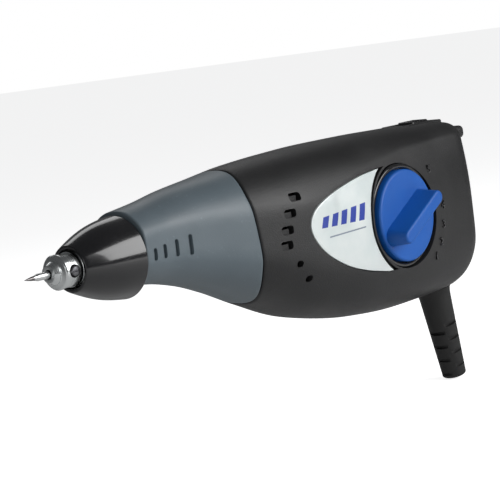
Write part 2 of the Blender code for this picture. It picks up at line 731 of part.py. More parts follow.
def coil_bobbin():
    tube_y, tube_z = CORE_HALF_DEPTH + 1.4, LEG_HALF_HEIGHT + 1.3
    flange_y, flange_z = 12.8, WINDOW_TOP - 0.4
    front, rear = CORE_FRONT + 0.9, WINDOW_REAR - 0.4
    bobbin = boxes("coil_bobbin", [((front, -tube_y, -tube_z), (rear, tube_y, tube_z))],
                   "nylon")
    for label, low in (("front", front), ("rear", rear - 1.1)):
        flange = boxes("bobbin_%s_flange" % label,
                       [((low, -flange_y, -flange_z), (low + 1.1, flange_y, flange_z))])
        boolean(bobbin, flange, "UNION")
    return boolean(bobbin, square_tube_hole("bobbin_hole", CORE_HALF_DEPTH + GAP,
                                            LEG_HALF_HEIGHT + GAP))


def coil_winding():
    front, rear = CORE_FRONT + 2.3, WINDOW_REAR - 1.8
    winding = boxes("coil_winding", [((front, -12.4, -9.7), (rear, 12.4, 9.7))], "copper")
    bevel(winding, 1.6, 3)
    return boolean(winding, square_tube_hole("winding_hole", CORE_HALF_DEPTH + 1.7,
                                             LEG_HALF_HEIGHT + 1.6))


def headed_screw(name, material, parent, head_end, head_length, tip, head_radius, radius):
    """A screw along its parent's Z: head from head_end inwards, then the shank to tip."""
    shoulder = head_end - head_length
    profile = [(0.0, head_end), (head_radius, head_end), (head_radius, shoulder),
               (radius, shoulder), (radius, tip + 1.2), (0.0, tip)]
    return turned(name, profile, material, parent, along_x=False, steps=12)


def side_screw(name, x, z, side, head_end, head_length, tip, head_radius, radius,
               material="steel"):
    """A slotted screw along Y; side is the side its head faces, -1 or 1."""
    turn = Matrix.Rotation(-side * math.pi / 2, 3, "X")
    parent = new_empty(name + "_axis", (x, 0, z), turn, TOOL_AXIS)
    screw = headed_screw(name, material, parent, head_end, head_length, tip, head_radius,
                         radius)
    depth = head_end - head_length * 0.45
    slot = boxes(name + "_slot", [((-4, -0.35, depth), (4, 0.35, head_end + 1))], None, parent)
    return boolean(screw, slot)


def core_screws():
    for i, (x, z) in enumerate(CORE_POSTS, 1):
        side_screw("core_screw_%d" % i, x, z, -1, 9.4, 2.0, -14.0, 2.8, 1.25)


def core_pads():
    """Rubber pads that wedge the core between the shells, above and below."""
    outer = through_sections(114, 1) - WALL - 0.9
    boxes_by_name = {
        "core_pad_top": ((108, -6, CORE_HALF_HEIGHT + GAP), (120, 6, outer)),
        "core_pad_bottom": ((108, -6, -CORE_HALF_HEIGHT - 6.5), (120, 6,
                                                               -CORE_HALF_HEIGHT - GAP)),
    }
    for name, corners in boxes_by_name.items():
        bevel(boxes(name, [corners], "rubber"), 0.5, 1)


# ---------------------------------------------------------------- stroke dial

def bar_outline(width, shrink, level):
    """Section of the grip bar at a level: straight sides, a round heel and a round tip."""
    radius = width / 2
    outline = arc((BAR_HEEL + shrink + radius, 0.0), radius, 90, 270, 8)
    outline += arc((BAR_TIP - shrink - radius, 0.0), radius, -90, 90, 8)
    turn = Matrix.Rotation(POINTER_ANGLE, 3, "Z")
    return [turn @ Vector((x, y, level)) for x, y in outline]


def grip_bar(sunk):
    """The bar across the dial, from just inside the disc up to its narrower top."""
    bm = bmesh.new()
    rows = [bar_outline(BAR_FOOT_WIDTH, 0.0, -sunk), bar_outline(BAR_FOOT_WIDTH, 0.0, 0.6),
            bar_outline(BAR_TOP_WIDTH, 0.5, BAR_HEIGHT - 0.5),
            bar_outline(BAR_TOP_WIDTH - 1.0, 1.0, BAR_HEIGHT)]
    rows = [[bm.verts.new(point) for point in row] for row in rows]
    for low, high in zip(rows, rows[1:]):
        for i in range(len(low)):
            j = (i + 1) % len(low)
            bm.faces.new((low[i], low[j], high[j], high[i]))
    bm.faces.new(rows[0])
    bm.faces.new(rows[-1])
    bmesh.ops.recalc_face_normals(bm, faces=bm.faces)
    return finish("grip_bar", bm, None, DIAL_AXIS)


def stroke_dial():
    r, z = DIAL_RADIUS, 0.0
    profile = [(0.0, z), (r - 0.9, z), (r - 0.25, z - 0.25), (r, z - 0.9), (r, z - DIAL_THICK),
               (r - 1.6, z - DIAL_THICK), (r - 1.6, z - 2.2), (4.6, z - 2.2),
               (4.6, z - DIAL_THICK), (SHAFT_BORE - 1.0, z - DIAL_THICK),
               (SHAFT_BORE - 1.0, z - 1.4), (0.0, z - 1.4)]
    dial = turned("stroke_dial", profile, "blue_plastic", DIAL_AXIS, along_x=False, steps=36)
    return boolean(dial, grip_bar(0.5), "UNION")


def dial_bezel():
    """A cup in the side wall that carries the dial's shaft."""
    inner = DIAL_RADIUS + 0.45
    profile = [(WELL_RADIUS - GAP, -BEZEL_DROP), (WELL_RADIUS - GAP, -FLANGE_DEPTH),
               (BEZEL_FLANGE, -FLANGE_DEPTH),
               (BEZEL_FLANGE, -7.3), (SHAFT_BORE + RUNNING_GAP, -7.3),
               (SHAFT_BORE + RUNNING_GAP, -5.4), (inner, -5.4), (inner, -BEZEL_DROP)]
    return turned("dial_bezel", profile, "gloss_black", DIAL_AXIS, ring=True, steps=36,
                  along_x=False)


def dial_shaft():
    """Shaft of the dial, with an eccentric pin on its inner end."""
    r = SHAFT_BORE - 1.0 - GAP
    profile = [(0.0, -1.7), (r, -1.7), (r, -4.9), (SHAFT_BORE, -4.9), (SHAFT_BORE, -8.0),
               (4.4, -8.0), (4.4, -18.6), (0.0, -18.6)]
    shaft = turned("dial_shaft", profile, "nylon", DIAL_AXIS, along_x=False, steps=24)
    px = ECCENTRIC * math.cos(ECCENTRIC_ANGLE)
    py = ECCENTRIC * math.sin(ECCENTRIC_ANGLE)
    pin = cylinders("dial_pin", [((px, py, -24.3), (px, py, -17.6), PIN_RADIUS)], None,
                    DIAL_AXIS, 16)
    return boolean(shaft, pin, "UNION")


def detent_washer():
    """Wavy spring washer between the dial's shaft and its bezel, drawn flat."""
    profile = [(6.6, -7.6), (6.6, -7.9), (4.8, -7.9), (4.8, -7.6)]
    return turned("detent_washer", profile, "steel", DIAL_AXIS, ring=True, steps=24,
                  along_x=False)


def stop_slide():
    """Adjustable rear stop: a yoke that the eccentric pin moves along the hammer axis."""
    outline = [(133.9, 3.2), (147.6, 3.2), (147.6, -11.5), (136.5, -11.5), (136.5, -3.2),
               (133.9, -3.2)]
    turn = Matrix.Rotation(math.pi / 2, 4, "X")
    slide = plate("stop_slide", outline, 4.6, "nylon", None, turn, (0, -0.9, 0))
    pin_depth = DIAL_FACE - 0.9
    centre = DIAL_X - pin_depth * math.sin(DIAL_TILT) + ECCENTRIC * math.cos(ECCENTRIC_ANGLE)
    width = PIN_RADIUS + 0.3
    slot = boxes("stop_slot", [((centre - width, -8, DIAL_Z - 3.0),
                                (centre + width, 8, DIAL_Z + 3.0))])
    return boolean(slide, slot)


def stop_guide():
    guide = boxes("stop_guide", [((133.2, -3.6, -14.4), (150.0, 4.4, 6.1))], "black_plastic")
    ear = boxes("guide_ear", [((149.0, 1.9, -14.4), (156.6, 4.4, 6.1))])
    boolean(guide, ear, "UNION")
    boolean(guide, boxes("guide_channel", [((130, -8, -11.85), (160, 1.75, 3.55))]))
    holes = [((x, -5, z), (x, 8, z), 1.5) for x, z in GUIDE_POSTS]
    return boolean(guide, cylinders("guide_holes", holes, segments=14))


def guide_screws():
    for i, (x, z) in enumerate(GUIDE_POSTS, 1):
        side_screw("guide_screw_%d" % i, x, z, -1, 0.2, 1.8, -11.0, 2.4, 1.15)


def label_solid(name, material, grow, depth, proud):
    """Leaf-shaped plate on the side of the body, hollowed round the dial at its rear.

    grow widens it all round; depth and proud are how far it goes in from the side's
    surface and out of it.
    """
    columns = 6
    radius = LABEL_ARC - 4 * grow
    stretch = 1 + grow / 16
    bm = bmesh.new()
    layers = []
    for offset in (-depth, proud):
        layer = []
        for knot in smooth_route([(x, 0, z) for x, z in LABEL_EDGE], 2):
            z = LABEL_CENTRE_Z + (knot.z - LABEL_CENTRE_Z) * stretch
            left = knot.x - grow
            right = DIAL_X - math.sqrt(radius ** 2 - (z - DIAL_Z) ** 2)
            layer.append([bm.verts.new((x, -(side_surface(x, z) + offset), z))
                          for x in spread(left, right, columns)])
        layers.append(layer)
    back, front = layers
    for layer in layers:
        for low, high in zip(layer, layer[1:]):
            for i in range(columns - 1):
                bm.faces.new((low[i], low[i + 1], high[i + 1], high[i]))
    for back_row, front_row in ((back[0], front[0]), (back[-1], front[-1])):
        for i in range(columns - 1):
            bm.faces.new((back_row[i], back_row[i + 1], front_row[i + 1], front_row[i]))
    for column in (0, columns - 1):
        for k in range(len(back) - 1):
            bm.faces.new((back[k][column], back[k + 1][column],
                          front[k + 1][column], front[k][column]))
    bmesh.ops.recalc_face_normals(bm, faces=bm.faces)
    return finish(name, bm, material, None)


# ---------------------------------------------------------------- switch

def power_switch():
    """Slide button: a ribbed top in the slot, a cover under the wall and a tongue."""
    button = boxes("power_switch", [((BUTTON_FRONT, -3.2, 15.8), (BUTTON_REAR, 3.2,
                                                                BUTTON_TOP))], "black_plastic")
    bevel(button, 0.4, 1)
    cover = boxes("switch_cover", [((168.6, -5.2, 15.0), (185.8, 5.2, 16.2))])
    boolean(button, cover, "UNION")
    tongue = boxes("switch_tongue", [((179.2, -1.2, 11.0), (181.6, 1.2, 15.6))])
    boolean(button, tongue, "UNION")
    grooves = []
    pitch = (BUTTON_REAR - BUTTON_FRONT) / 6
    for i in range(1, 6):
        x = BUTTON_FRONT + pitch * i
        grooves.append(((x - 0.35, -5, BUTTON_TOP - 0.5), (x + 0.35, 5, BUTTON_TOP + 2)))
    return boolean(button, boxes("switch_grooves", grooves))


def switch_body():
    body = boxes("switch_body", [((166.4, -5.0, 3.6), (184.6, 5.0, 14.6))], "nylon")
    bevel(body, 0.5, 1)
    return boolean(body, boxes("switch_body_slot", [((174.6, -1.6, 9.4), (182.2, 1.6, 20))]))


# ---------------------------------------------------------------- cord exit

def heel_solid(name, grow, material):
    """Oval heel of the strain relief under the housing, wider towards the front."""
    outline = rounded_rectangle((-2.6, 0.0), 19.0 + 2 * grow, 13.6 + 2 * grow, 6.7 + grow, 5)
    depth = 4.4
    turn = Matrix.Rotation(math.pi, 4, "X")
    place = (0, 0, HEEL_TOP - grow + depth / 2)
    thickness = depth
    if grow:
        thickness = depth + 12
        place = (0, 0, HEEL_TOP - grow + thickness / 2)
    return plate(name, outline, thickness, material, BOOT_AXIS, turn, place)


def strain_relief():
    """Tapered rubber boot with an open bore, an oval heel and alternating flex slots."""
    steps = 3
    taper = []
    for i in range(steps + 1):
        t = i / steps
        along = HEEL_TOP + 1.0 + t * (BOOT_END - 0.6 - HEEL_TOP - 1.0)
        radius = BOOT_ROOT_RADIUS - t * (BOOT_ROOT_RADIUS - BOOT_END_RADIUS)
        taper.append((radius, along))
    profile = [(0.0, BOOT_END), (BOOT_END_RADIUS - 0.5, BOOT_END)] + taper[::-1]
    profile += [(BOOT_ROOT_RADIUS - 0.6, HEEL_TOP + 0.4), (BOOT_ROOT_RADIUS - 0.6, 0.0),
                (BOOT_INNER_RADIUS, -0.8), (BOOT_INNER_RADIUS, BOOT_INNER_END), (0.0, BOOT_INNER_END)]
    boot = turned("strain_relief", profile, "rubber", BOOT_AXIS, steps=20, along_x=False)
    heel = heel_solid("boot_heel", 0.0, None)
    bevel(heel, 0.6, 1, 50)
    boolean(boot, heel, "UNION")
    boolean(boot, cylinders("boot_bore", [((0, 0, -30), (0, 0, 50), BOOT_BORE)], None,
                            BOOT_AXIS, 16))
    slots = []
    for i in range(4):
        along = 16.0 + 5.0 * i
        depth = 3.5
        for low, high in ((-12, -depth), (depth, 12)):
            slots.append(((-12, low, along), (12, high, along + 1.3)))
            slots.append(((low, -12, along + 2.5), (high, 12, along + 3.8)))
    return boolean(boot, boxes("boot_slots", slots, None, BOOT_AXIS))


def cord_clamp():
    """Saddle over the boot's inner end, with an ear on each side."""
    inner, outer = BOOT_INNER_RADIUS + GAP, BOOT_INNER_RADIUS + GAP + 1.3
    top, low = -0.2, -2.2
    lean = math.degrees(math.asin(-top / inner))
    edge = math.degrees(math.asin(-low / outer))
    outline = [(9.4, top)] + arc((0, 0), inner, -lean, -180 + lean, 8)
    outline += [(-9.4, top), (-9.4, low)] + arc((0, 0), outer, -180 + edge, -edge, 8)
    outline += [(9.4, low)]
    clamp = plate("cord_clamp", outline, 5.0, "nylon", BOOT_AXIS,
                  Matrix.Rotation(math.pi, 4, "Z"), (0, 0, CLAMP_STATION))
    holes = [((u, -1, CLAMP_STATION), (u, 6, CLAMP_STATION), 1.4)
             for u in (-CLAMP_OFFSET, CLAMP_OFFSET)]
    return boolean(clamp, cylinders("clamp_holes", holes, None, BOOT_AXIS, 14))


def clamp_screws():
    for i, (x, _, z) in enumerate(clamp_posts(), 1):
        side_screw("cord_clamp_screw_%d" % i, x, z, -1, 4.2, 1.7, -7.0, 1.8, 1.05)


def terminal_block():
    block = boxes("terminal_block", [((157.4, -4.0, -17.0), (169.6, 6.0, -8.0))], "nylon")
    bevel(block, 0.5, 1)
    wells = [((x, -6, z), (x, 3, z), 2.1) for x, z in TERMINAL_SCREWS]
    return boolean(block, cylinders("terminal_wells", wells, segments=16))


def terminal_screws():
    for i, (x, z) in enumerate(TERMINAL_SCREWS, 1):
        side_screw("terminal_screw_%d" % i, x, z, -1, 2.6, 1.6, -2.6, 1.75, 1.0)


def lead_wires():
    routes = {
        "switch_lead": ((163.5, 1, -7.6), (163.8, 1, -5.5), (166, 1, -1.5), (169, 1, 0.8),
                        (170.5, 1, 3.2)),
        "coil_lead_supply": ((157.0, 5.2, -15.4), (154.8, 6.6, -16.5), (150, 8.4, -17.8),
                             (140, 9.2, -18.6), (128, 9.4, -18.2), (118, 9.8, -15.4),
                             (112, 9.9, -11.6), (111.6, 9.9, -10.3)),
        "coil_lead_return": ((166.0, 3.6, 6.0), (163.5, 4.6, 6.2), (157, 7.4, 7.4),
                             (146, 9.6, 8.2), (134, 10.4, 6.6), (126, 10.6, 4.6),
                             (122.4, 10.6, 3.8)),
    }
    for name, knots in routes.items():
        wire(name, smooth_route(knots, 2), 0.7, "wire")


def housing_screws():
    for i, (x, z) in enumerate(SHELL_BOSSES, 1):
        side_screw("housing_screw_%d" % i, x, z, 1, 12.9, 2.1, -9.5, 2.45, 1.3)


# ---------------------------------------------------------------- assembly

for old in list(bpy.data.objects):
    bpy.data.objects.remove(old)

PARTS = new_collection("electric_engraving_tool")
CUTTERS = new_collection("cutters")
TOOL_AXIS = new_empty("tool_axis", TOOL_ORIGIN)

# The dial's axis: its Z points out of the side, its X towards the rear
outward = Vector((math.sin(DIAL_TILT), -math.cos(DIAL_TILT), 0.0))
rearward = Vector((math.cos(DIAL_TILT), math.sin(DIAL_TILT), 0.0))
upward = outward.cross(rearward)
DIAL_AXIS = new_empty("dial_axis", (DIAL_X, -DIAL_FACE, DIAL_Z),
                      Matrix((rearward, upward, outward)).transposed(), TOOL_AXIS)

# The cord's axis: its Z points along the cord, out of the housing, its X to the rear
cord_out = Vector((math.sin(BOOT_TILT), 0.0, -math.cos(BOOT_TILT)))
cord_rear = Vector((math.cos(BOOT_TILT), 0.0, math.sin(BOOT_TILT)))
BOOT_AXIS = new_empty("cord_axis", (BOOT_X, 0, BOOT_Z),
                      Matrix((cord_rear, cord_out.cross(cord_rear), cord_out)).transposed(),
                      TOOL_AXIS)

housing_left()
housing_right()
grip_sleeve()
nose_cone()
front_bush()
dust_seal()
bulkhead()
rear_bush()
bumper()
hammer_shaft()
point_chuck()
clamp_screw()
engraving_point()
armature()
retaining_clip()
return_spring()
core_stack()
coil_bobbin()
coil_winding()
core_screws()
core_pads()
stroke_dial()
dial_bezel()
dial_shaft()
detent_washer()
stop_slide()
stop_guide()
guide_screws()
label_solid("label_plate", "label", 0.0, 1.0, 0.25)
power_switch()
switch_body()
strain_relief()
cord_clamp()
clamp_screws()
terminal_block()
terminal_screws()
lead_wires()
housing_screws()
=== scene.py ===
"""Looks of the electric engraving tool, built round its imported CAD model.

Sizes are in millimetres in the tool frame: X from the point's tip to the rear along the
hammer axis, Z up, the dial on the -Y side. place() turns them into the CAD's metres.
"""

import json
import math

import bmesh
import bpy
import numpy as np
from mathutils import Matrix, Vector


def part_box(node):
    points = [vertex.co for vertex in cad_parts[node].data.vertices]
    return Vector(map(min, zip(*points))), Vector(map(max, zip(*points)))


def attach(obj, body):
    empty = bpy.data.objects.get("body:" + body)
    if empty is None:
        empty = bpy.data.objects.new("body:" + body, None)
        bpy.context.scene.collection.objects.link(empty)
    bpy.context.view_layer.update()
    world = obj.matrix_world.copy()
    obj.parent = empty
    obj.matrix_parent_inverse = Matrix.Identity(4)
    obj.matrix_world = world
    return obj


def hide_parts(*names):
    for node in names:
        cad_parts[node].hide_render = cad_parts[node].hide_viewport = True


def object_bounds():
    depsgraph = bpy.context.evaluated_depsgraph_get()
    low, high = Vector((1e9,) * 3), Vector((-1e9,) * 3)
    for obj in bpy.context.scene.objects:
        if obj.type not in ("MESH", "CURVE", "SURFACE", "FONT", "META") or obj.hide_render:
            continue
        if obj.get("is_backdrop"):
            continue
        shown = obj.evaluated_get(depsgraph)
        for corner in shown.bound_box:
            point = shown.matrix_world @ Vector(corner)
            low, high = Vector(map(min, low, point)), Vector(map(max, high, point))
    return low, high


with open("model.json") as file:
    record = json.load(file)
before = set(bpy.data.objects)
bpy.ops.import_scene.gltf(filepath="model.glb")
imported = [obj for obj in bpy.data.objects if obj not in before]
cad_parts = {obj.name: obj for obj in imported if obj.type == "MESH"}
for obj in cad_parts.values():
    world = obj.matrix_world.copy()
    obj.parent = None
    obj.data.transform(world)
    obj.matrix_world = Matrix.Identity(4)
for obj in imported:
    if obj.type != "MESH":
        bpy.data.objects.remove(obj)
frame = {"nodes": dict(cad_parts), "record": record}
CAD_LOW, CAD_HIGH = (list(corner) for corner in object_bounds())

MM = 0.001
NODES = frame["nodes"]

# The tool frame's origin in the CAD's frame: the tip of the point on the hammer axis
POINT_LOW, POINT_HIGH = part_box("engraving_point")
ORIGIN = Vector((POINT_LOW.x, (POINT_LOW.y + POINT_HIGH.y) / 2,
                 (POINT_LOW.z + POINT_HIGH.z) / 2))

# Body sections: station, top, bottom, half width, and the fullness of the lower and of the
# upper half (2 is an ellipse)
SECTIONS = np.array((
    (36.0, 13.0, -8.5, 11.9, 2.0, 2.0),
    (46.0, 14.3, -9.7, 12.0, 2.0, 2.0),
    (58.0, 16.2, -12.5, 14.0, 2.1, 2.1),
    (72.0, 17.7, -17.5, 17.2, 2.2, 2.2),
    (88.0, 19.4, -24.5, 20.3, 2.3, 2.3),
    (106.0, 20.3, -31.4, 22.6, 2.5, 2.5),
    (126.0, 20.8, -35.3, 23.6, 2.7, 2.7),
    (146.0, 20.7, -36.6, 23.2, 2.8, 2.9),
    (166.0, 20.2, -36.2, 21.9, 2.9, 3.4),
    (180.0, 19.7, -35.5, 20.4, 2.9, 4.0),
    (190.0, 19.2, -34.5, 19.0, 2.9, 4.4),
))
SIDE_FLAT = 0.8                   # the sides lie flat this far inside the full sections
WALL, SLEEVE_WALL = 2.4, 2.2
GAP = 0.3                         # clearance between pieces
REAR = 190.0
REAR_RADIUS_TOP, REAR_RADIUS_BOTTOM, REAR_RADIUS_SIDE = 3.0, 15.0, 11.0
PAD_LOW, PAD_HIGH = (170.6, -6.2, 10.0), (188.4, 6.2, 20.2)
LIP_LOW, LIP_HIGH = (181.0, -13.0, 13.2), (191.4, 13.0, 17.4)

# The seam between sleeve and housing, a curve in the level from bottom (-1) to top (1).
# Rings near SEAM_STATION follow it, and it fades out over SEAM_FADE
SEAM_MIDDLE, SEAM_SLOPE, SEAM_BOW, SEAM_SWEEP = 77.5, -2.0, -1.0, 6.0
SEAM_STATION, SEAM_FADE = 80.0, 30.0

# The crease between the side's face and the shoulder above it: station, height
CREASE = np.array(((80.0, 0.0), (94.9, 2.9), (107.6, 7.6), (124.5, 11.9), (148.6, 14.7),
                   (166.5, 15.3), (190.0, 15.5)))
FACET_START, FACET_FULL, FACET_LOW = 90.0, 110.0, -6.0
FACET_CLEAR = 3.0                 # the face lies this far outside where there is no crease

NOSE_FRONT, NOSE_REAR = 16.9, 36.3
NOSE_FRONT_RADIUS, NOSE_REAR_RADIUS = 6.64, 12.1
NOSE_BULGE = 0.9
SCREW_X = 14.3                    # the clamp screw's axis

DIAL_X, DIAL_Z, DIAL_FACE = 141.8, -5.7, 23.0
DIAL_TILT = math.radians(2.0)
DIAL_RADIUS, DIAL_THICK = 14.6, 4.6
WELL_RADIUS, BEZEL_FLANGE, FLANGE_DEPTH = 16.7, 18.6, 4.9
BEZEL_DROP, BEZEL_GAP = 1.7, 0.45
BAR_HEIGHT, BAR_TIP, BAR_HEEL = 7.3, 11.5, -14.0
BAR_FOOT_WIDTH, BAR_TOP_WIDTH, BAR_EDGE = 6.8, 4.4, 0.8
POINTER_ANGLE = math.radians(29.0)
NUMBERS = ((36.0, "5"), (0.0, "4"), (-17.0, "3"), (-33.0, "2"), (-48.0, "1"))
NUMBER_CIRCLE, NUMBER_SIZE, NUMBER_RAISED = 20.9, 3.6, 0.35

# The label's bowed front edge, and the radius of its rear edge round the dial
LABEL_EDGE = ((129.8, -21.4), (120.2, -19.4), (111.1, -16.4), (102.8, -11.5), (98.3, -6.4),
              (96.9, -1.8), (99.0, 2.2), (104.3, 5.2), (111.9, 7.4), (122.5, 9.5), (132.4, 10.5))
LABEL_ARC = 18.6
LABEL_THICK, LABEL_PROUD = 1.0, 0.25
LABEL_MIDDLE, LABEL_REACH = -5.5, 16.0

# The motif on the label: its place from the tool's origin in metres, and slanted bars
MOTIF_X, MOTIF_Z, MOTIF_SLOPE = 0.1015, -0.0016, 0.03
BAR_COUNT, BAR_PITCH, BAR_SHARE, BAR_SLANT = 5, 0.0042, 0.62, 0.35
BAR_HALF_HEIGHT, BAR_GROWTH = 0.0016, 0.05
LINE_DROP, LINE_HALF_HEIGHT, LINE_START, LINE_END = 0.0048, 0.00022, 0.004, 0.0205

BOOT_X, BOOT_Z, BOOT_TILT = 179.5, -32.0, math.radians(11.3)
BOOT_END, BOOT_ROOT_RADIUS, BOOT_END_RADIUS, BOOT_BORE = 36.0, 5.5, 4.1, 2.9
BOOT_RIBS, RIB_START, RIB_PITCH, RIB_SLOT, RIB_OFFSET, RIB_DEEP = 4, 16.0, 5.0, 1.3, 2.5, 3.5
HEEL_TOP, HEEL_SUNK = 2.6, 1.8
HEEL_CENTRE, HEEL_LENGTH, HEEL_WIDTH, HEEL_CORNER = -2.6, 19.0, 13.6, 6.7

# Screw bosses (x, z), vents (x, z, width, height) and sleeve slots (x, top, bottom)
SHELL_BOSSES = ((103.0, -22.0), (133.0, 15.3), (181.0, -6.0), (158.0, -29.0))
VENTS = ((93.0, 7.8, 4.6, 2.6), (89.6, 3.3, 4.6, 2.6), (87.8, -1.5, 4.6, 2.6),
         (86.9, -5.9, 4.6, 2.6), (91.3, -12.2, 2.4, 2.0), (95.4, -17.4, 2.4, 2.0))
VENTS_LOUVRED, VENT_CORNER, BLADE_SUNK = 4, 0.9, 0.55
SLEEVE_SLOTS = ((53.6, 3.4, -2.6), (48.7, 2.8, -2.2), (44.0, 2.2, -1.9), (40.1, 1.7, -1.9))

BUTTON_FRONT, BUTTON_REAR, BUTTON_TOP, BUTTON_GROOVES = 176.2, 184.7, 20.9, 5

CAMERA_SPOT, CAMERA_LENS = (-356.2, -406.0, 61.3), 144.0
CAMERA_TURN = (-47.8, 6.5, -7.6)  # azimuth, elevation and roll in degrees
AMBIENT = 0.10

# Softboxes: name, place in the tool frame, size in metres, power in watts
LIT_POINT = (100.0, 0.0, -10.0)
SOFTBOXES = (("key", (320, -600, 290), (0.6, 0.5), 4.7),
             ("fill", (-550, -350, 120), (0.4, 0.4), 0.8),
             ("back", (330, 420, 380), (0.5, 0.2), 0.4))
FLOOR_RADIUS, FLOOR_DROP, FLOOR_GLOW = 6.0, 0.0005, 0.8


# ---------------------------------------------------------------- camera, light and floor

def add_camera():
    """The camera stands in front of the nose, on the dial's side, a little above the axis."""
    data = bpy.data.cameras.new("camera")
    data.sensor_width = 36.0
    data.lens = CAMERA_LENS
    data.clip_start, data.clip_end = 0.01, 20.0
    camera = bpy.data.objects.new("camera", data)
    bpy.context.scene.collection.objects.link(camera)
    azimuth, elevation, roll = (math.radians(a) for a in CAMERA_TURN)
    back = Vector((math.sin(azimuth) * math.cos(elevation),
                   -math.cos(azimuth) * math.cos(elevation), math.sin(elevation)))
    right = Vector((math.cos(azimuth), math.sin(azimuth), 0.0))
    up = back.cross(right)
    side = math.cos(roll) * right + math.sin(roll) * up
    top = -math.sin(roll) * right + math.cos(roll) * up
    turn = Matrix((side, top, back)).transposed().to_4x4()
    camera.matrix_world = Matrix.Translation(ORIGIN + Vector(CAMERA_SPOT) * MM) @ turn
    bpy.context.scene.camera = camera


def add_softbox(name, spot, size, power):
    """A rectangular soft light at a place in the tool frame, aimed at LIT_POINT."""
    data = bpy.data.lights.new(name, "AREA")
    data.shape = "RECTANGLE"
    data.size, data.size_y = size
    data.energy = power
    light = bpy.data.objects.new(name, data)
    bpy.context.scene.collection.objects.link(light)
    spot, target = ORIGIN + Vector(spot) * MM, ORIGIN + Vector(LIT_POINT) * MM
    turn = (target - spot).normalized().to_track_quat("-Z", "Y").to_matrix()
    light.matrix_world = Matrix.Translation(spot) @ turn.to_4x4()


def add_world():
    """White surroundings for the camera, and dim ones for everything that reflects them."""
    bpy.context.scene.view_settings.view_transform = "Standard"
    world = bpy.data.worlds.new("studio")
    bpy.context.scene.world = world
    world.use_nodes = True
    tree = world.node_tree
    sky = tree.nodes["Background"]
    sky.inputs["Color"].default_value = (1.0, 1.0, 1.0, 1.0)
    sky.inputs["Strength"].default_value = 1.0
    dim = tree.nodes.new("ShaderNodeBackground")
    dim.inputs["Color"].default_value = (0.95, 0.97, 1.0, 1.0)
    dim.inputs["Strength"].default_value = AMBIENT
    path = tree.nodes.new("ShaderNodeLightPath")
    blend = tree.nodes.new("ShaderNodeMixShader")
    tree.links.new(path.outputs["Is Camera Ray"], blend.inputs["Fac"])
    tree.links.new(dim.outputs["Background"], blend.inputs[1])
    tree.links.new(sky.outputs["Background"], blend.inputs[2])
    tree.links.new(blend.outputs["Shader"], tree.nodes["World Output"].inputs["Surface"])


def add_floor():
    """A wide white floor under the tool, which glows for the camera only."""
    mesh = bpy.data.meshes.new("studio_floor")
    bm = bmesh.new()
    bmesh.ops.create_circle(bm, cap_ends=True, segments=64, radius=FLOOR_RADIUS)
    bm.to_mesh(mesh)
    bm.free()
    floor = bpy.data.objects.new("studio_floor", mesh)
    bpy.context.scene.collection.objects.link(floor)
    floor.location = (0.0, 0.0, CAD_LOW[2] - FLOOR_DROP)
    material = bpy.data.materials.new("floor_white")
    material.use_nodes = True
    tree = material.node_tree
    shader = tree.nodes["Principled BSDF"]
    shader.inputs["Base Color"].default_value = (0.9, 0.9, 0.9, 1.0)
    shader.inputs["Roughness"].default_value = 0.9
    shader.inputs["Emission Color"].default_value = (1.0, 1.0, 1.0, 1.0)
    path = tree.nodes.new("ShaderNodeLightPath")
    glow = tree.nodes.new("ShaderNodeMath")
    glow.operation = "MULTIPLY"
    glow.inputs[1].default_value = FLOOR_GLOW
    tree.links.new(path.outputs["Is Camera Ray"], glow.inputs[0])
    tree.links.new(glow.outputs["Value"], shader.inputs["Emission Strength"])
    mesh.materials.append(material)
    floor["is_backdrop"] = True


# ---------------------------------------------------------------- materials

TOOL_RINGS = (2600.0, 30.0, 30.0)  # noise scale per axis: fine along X, slow across it


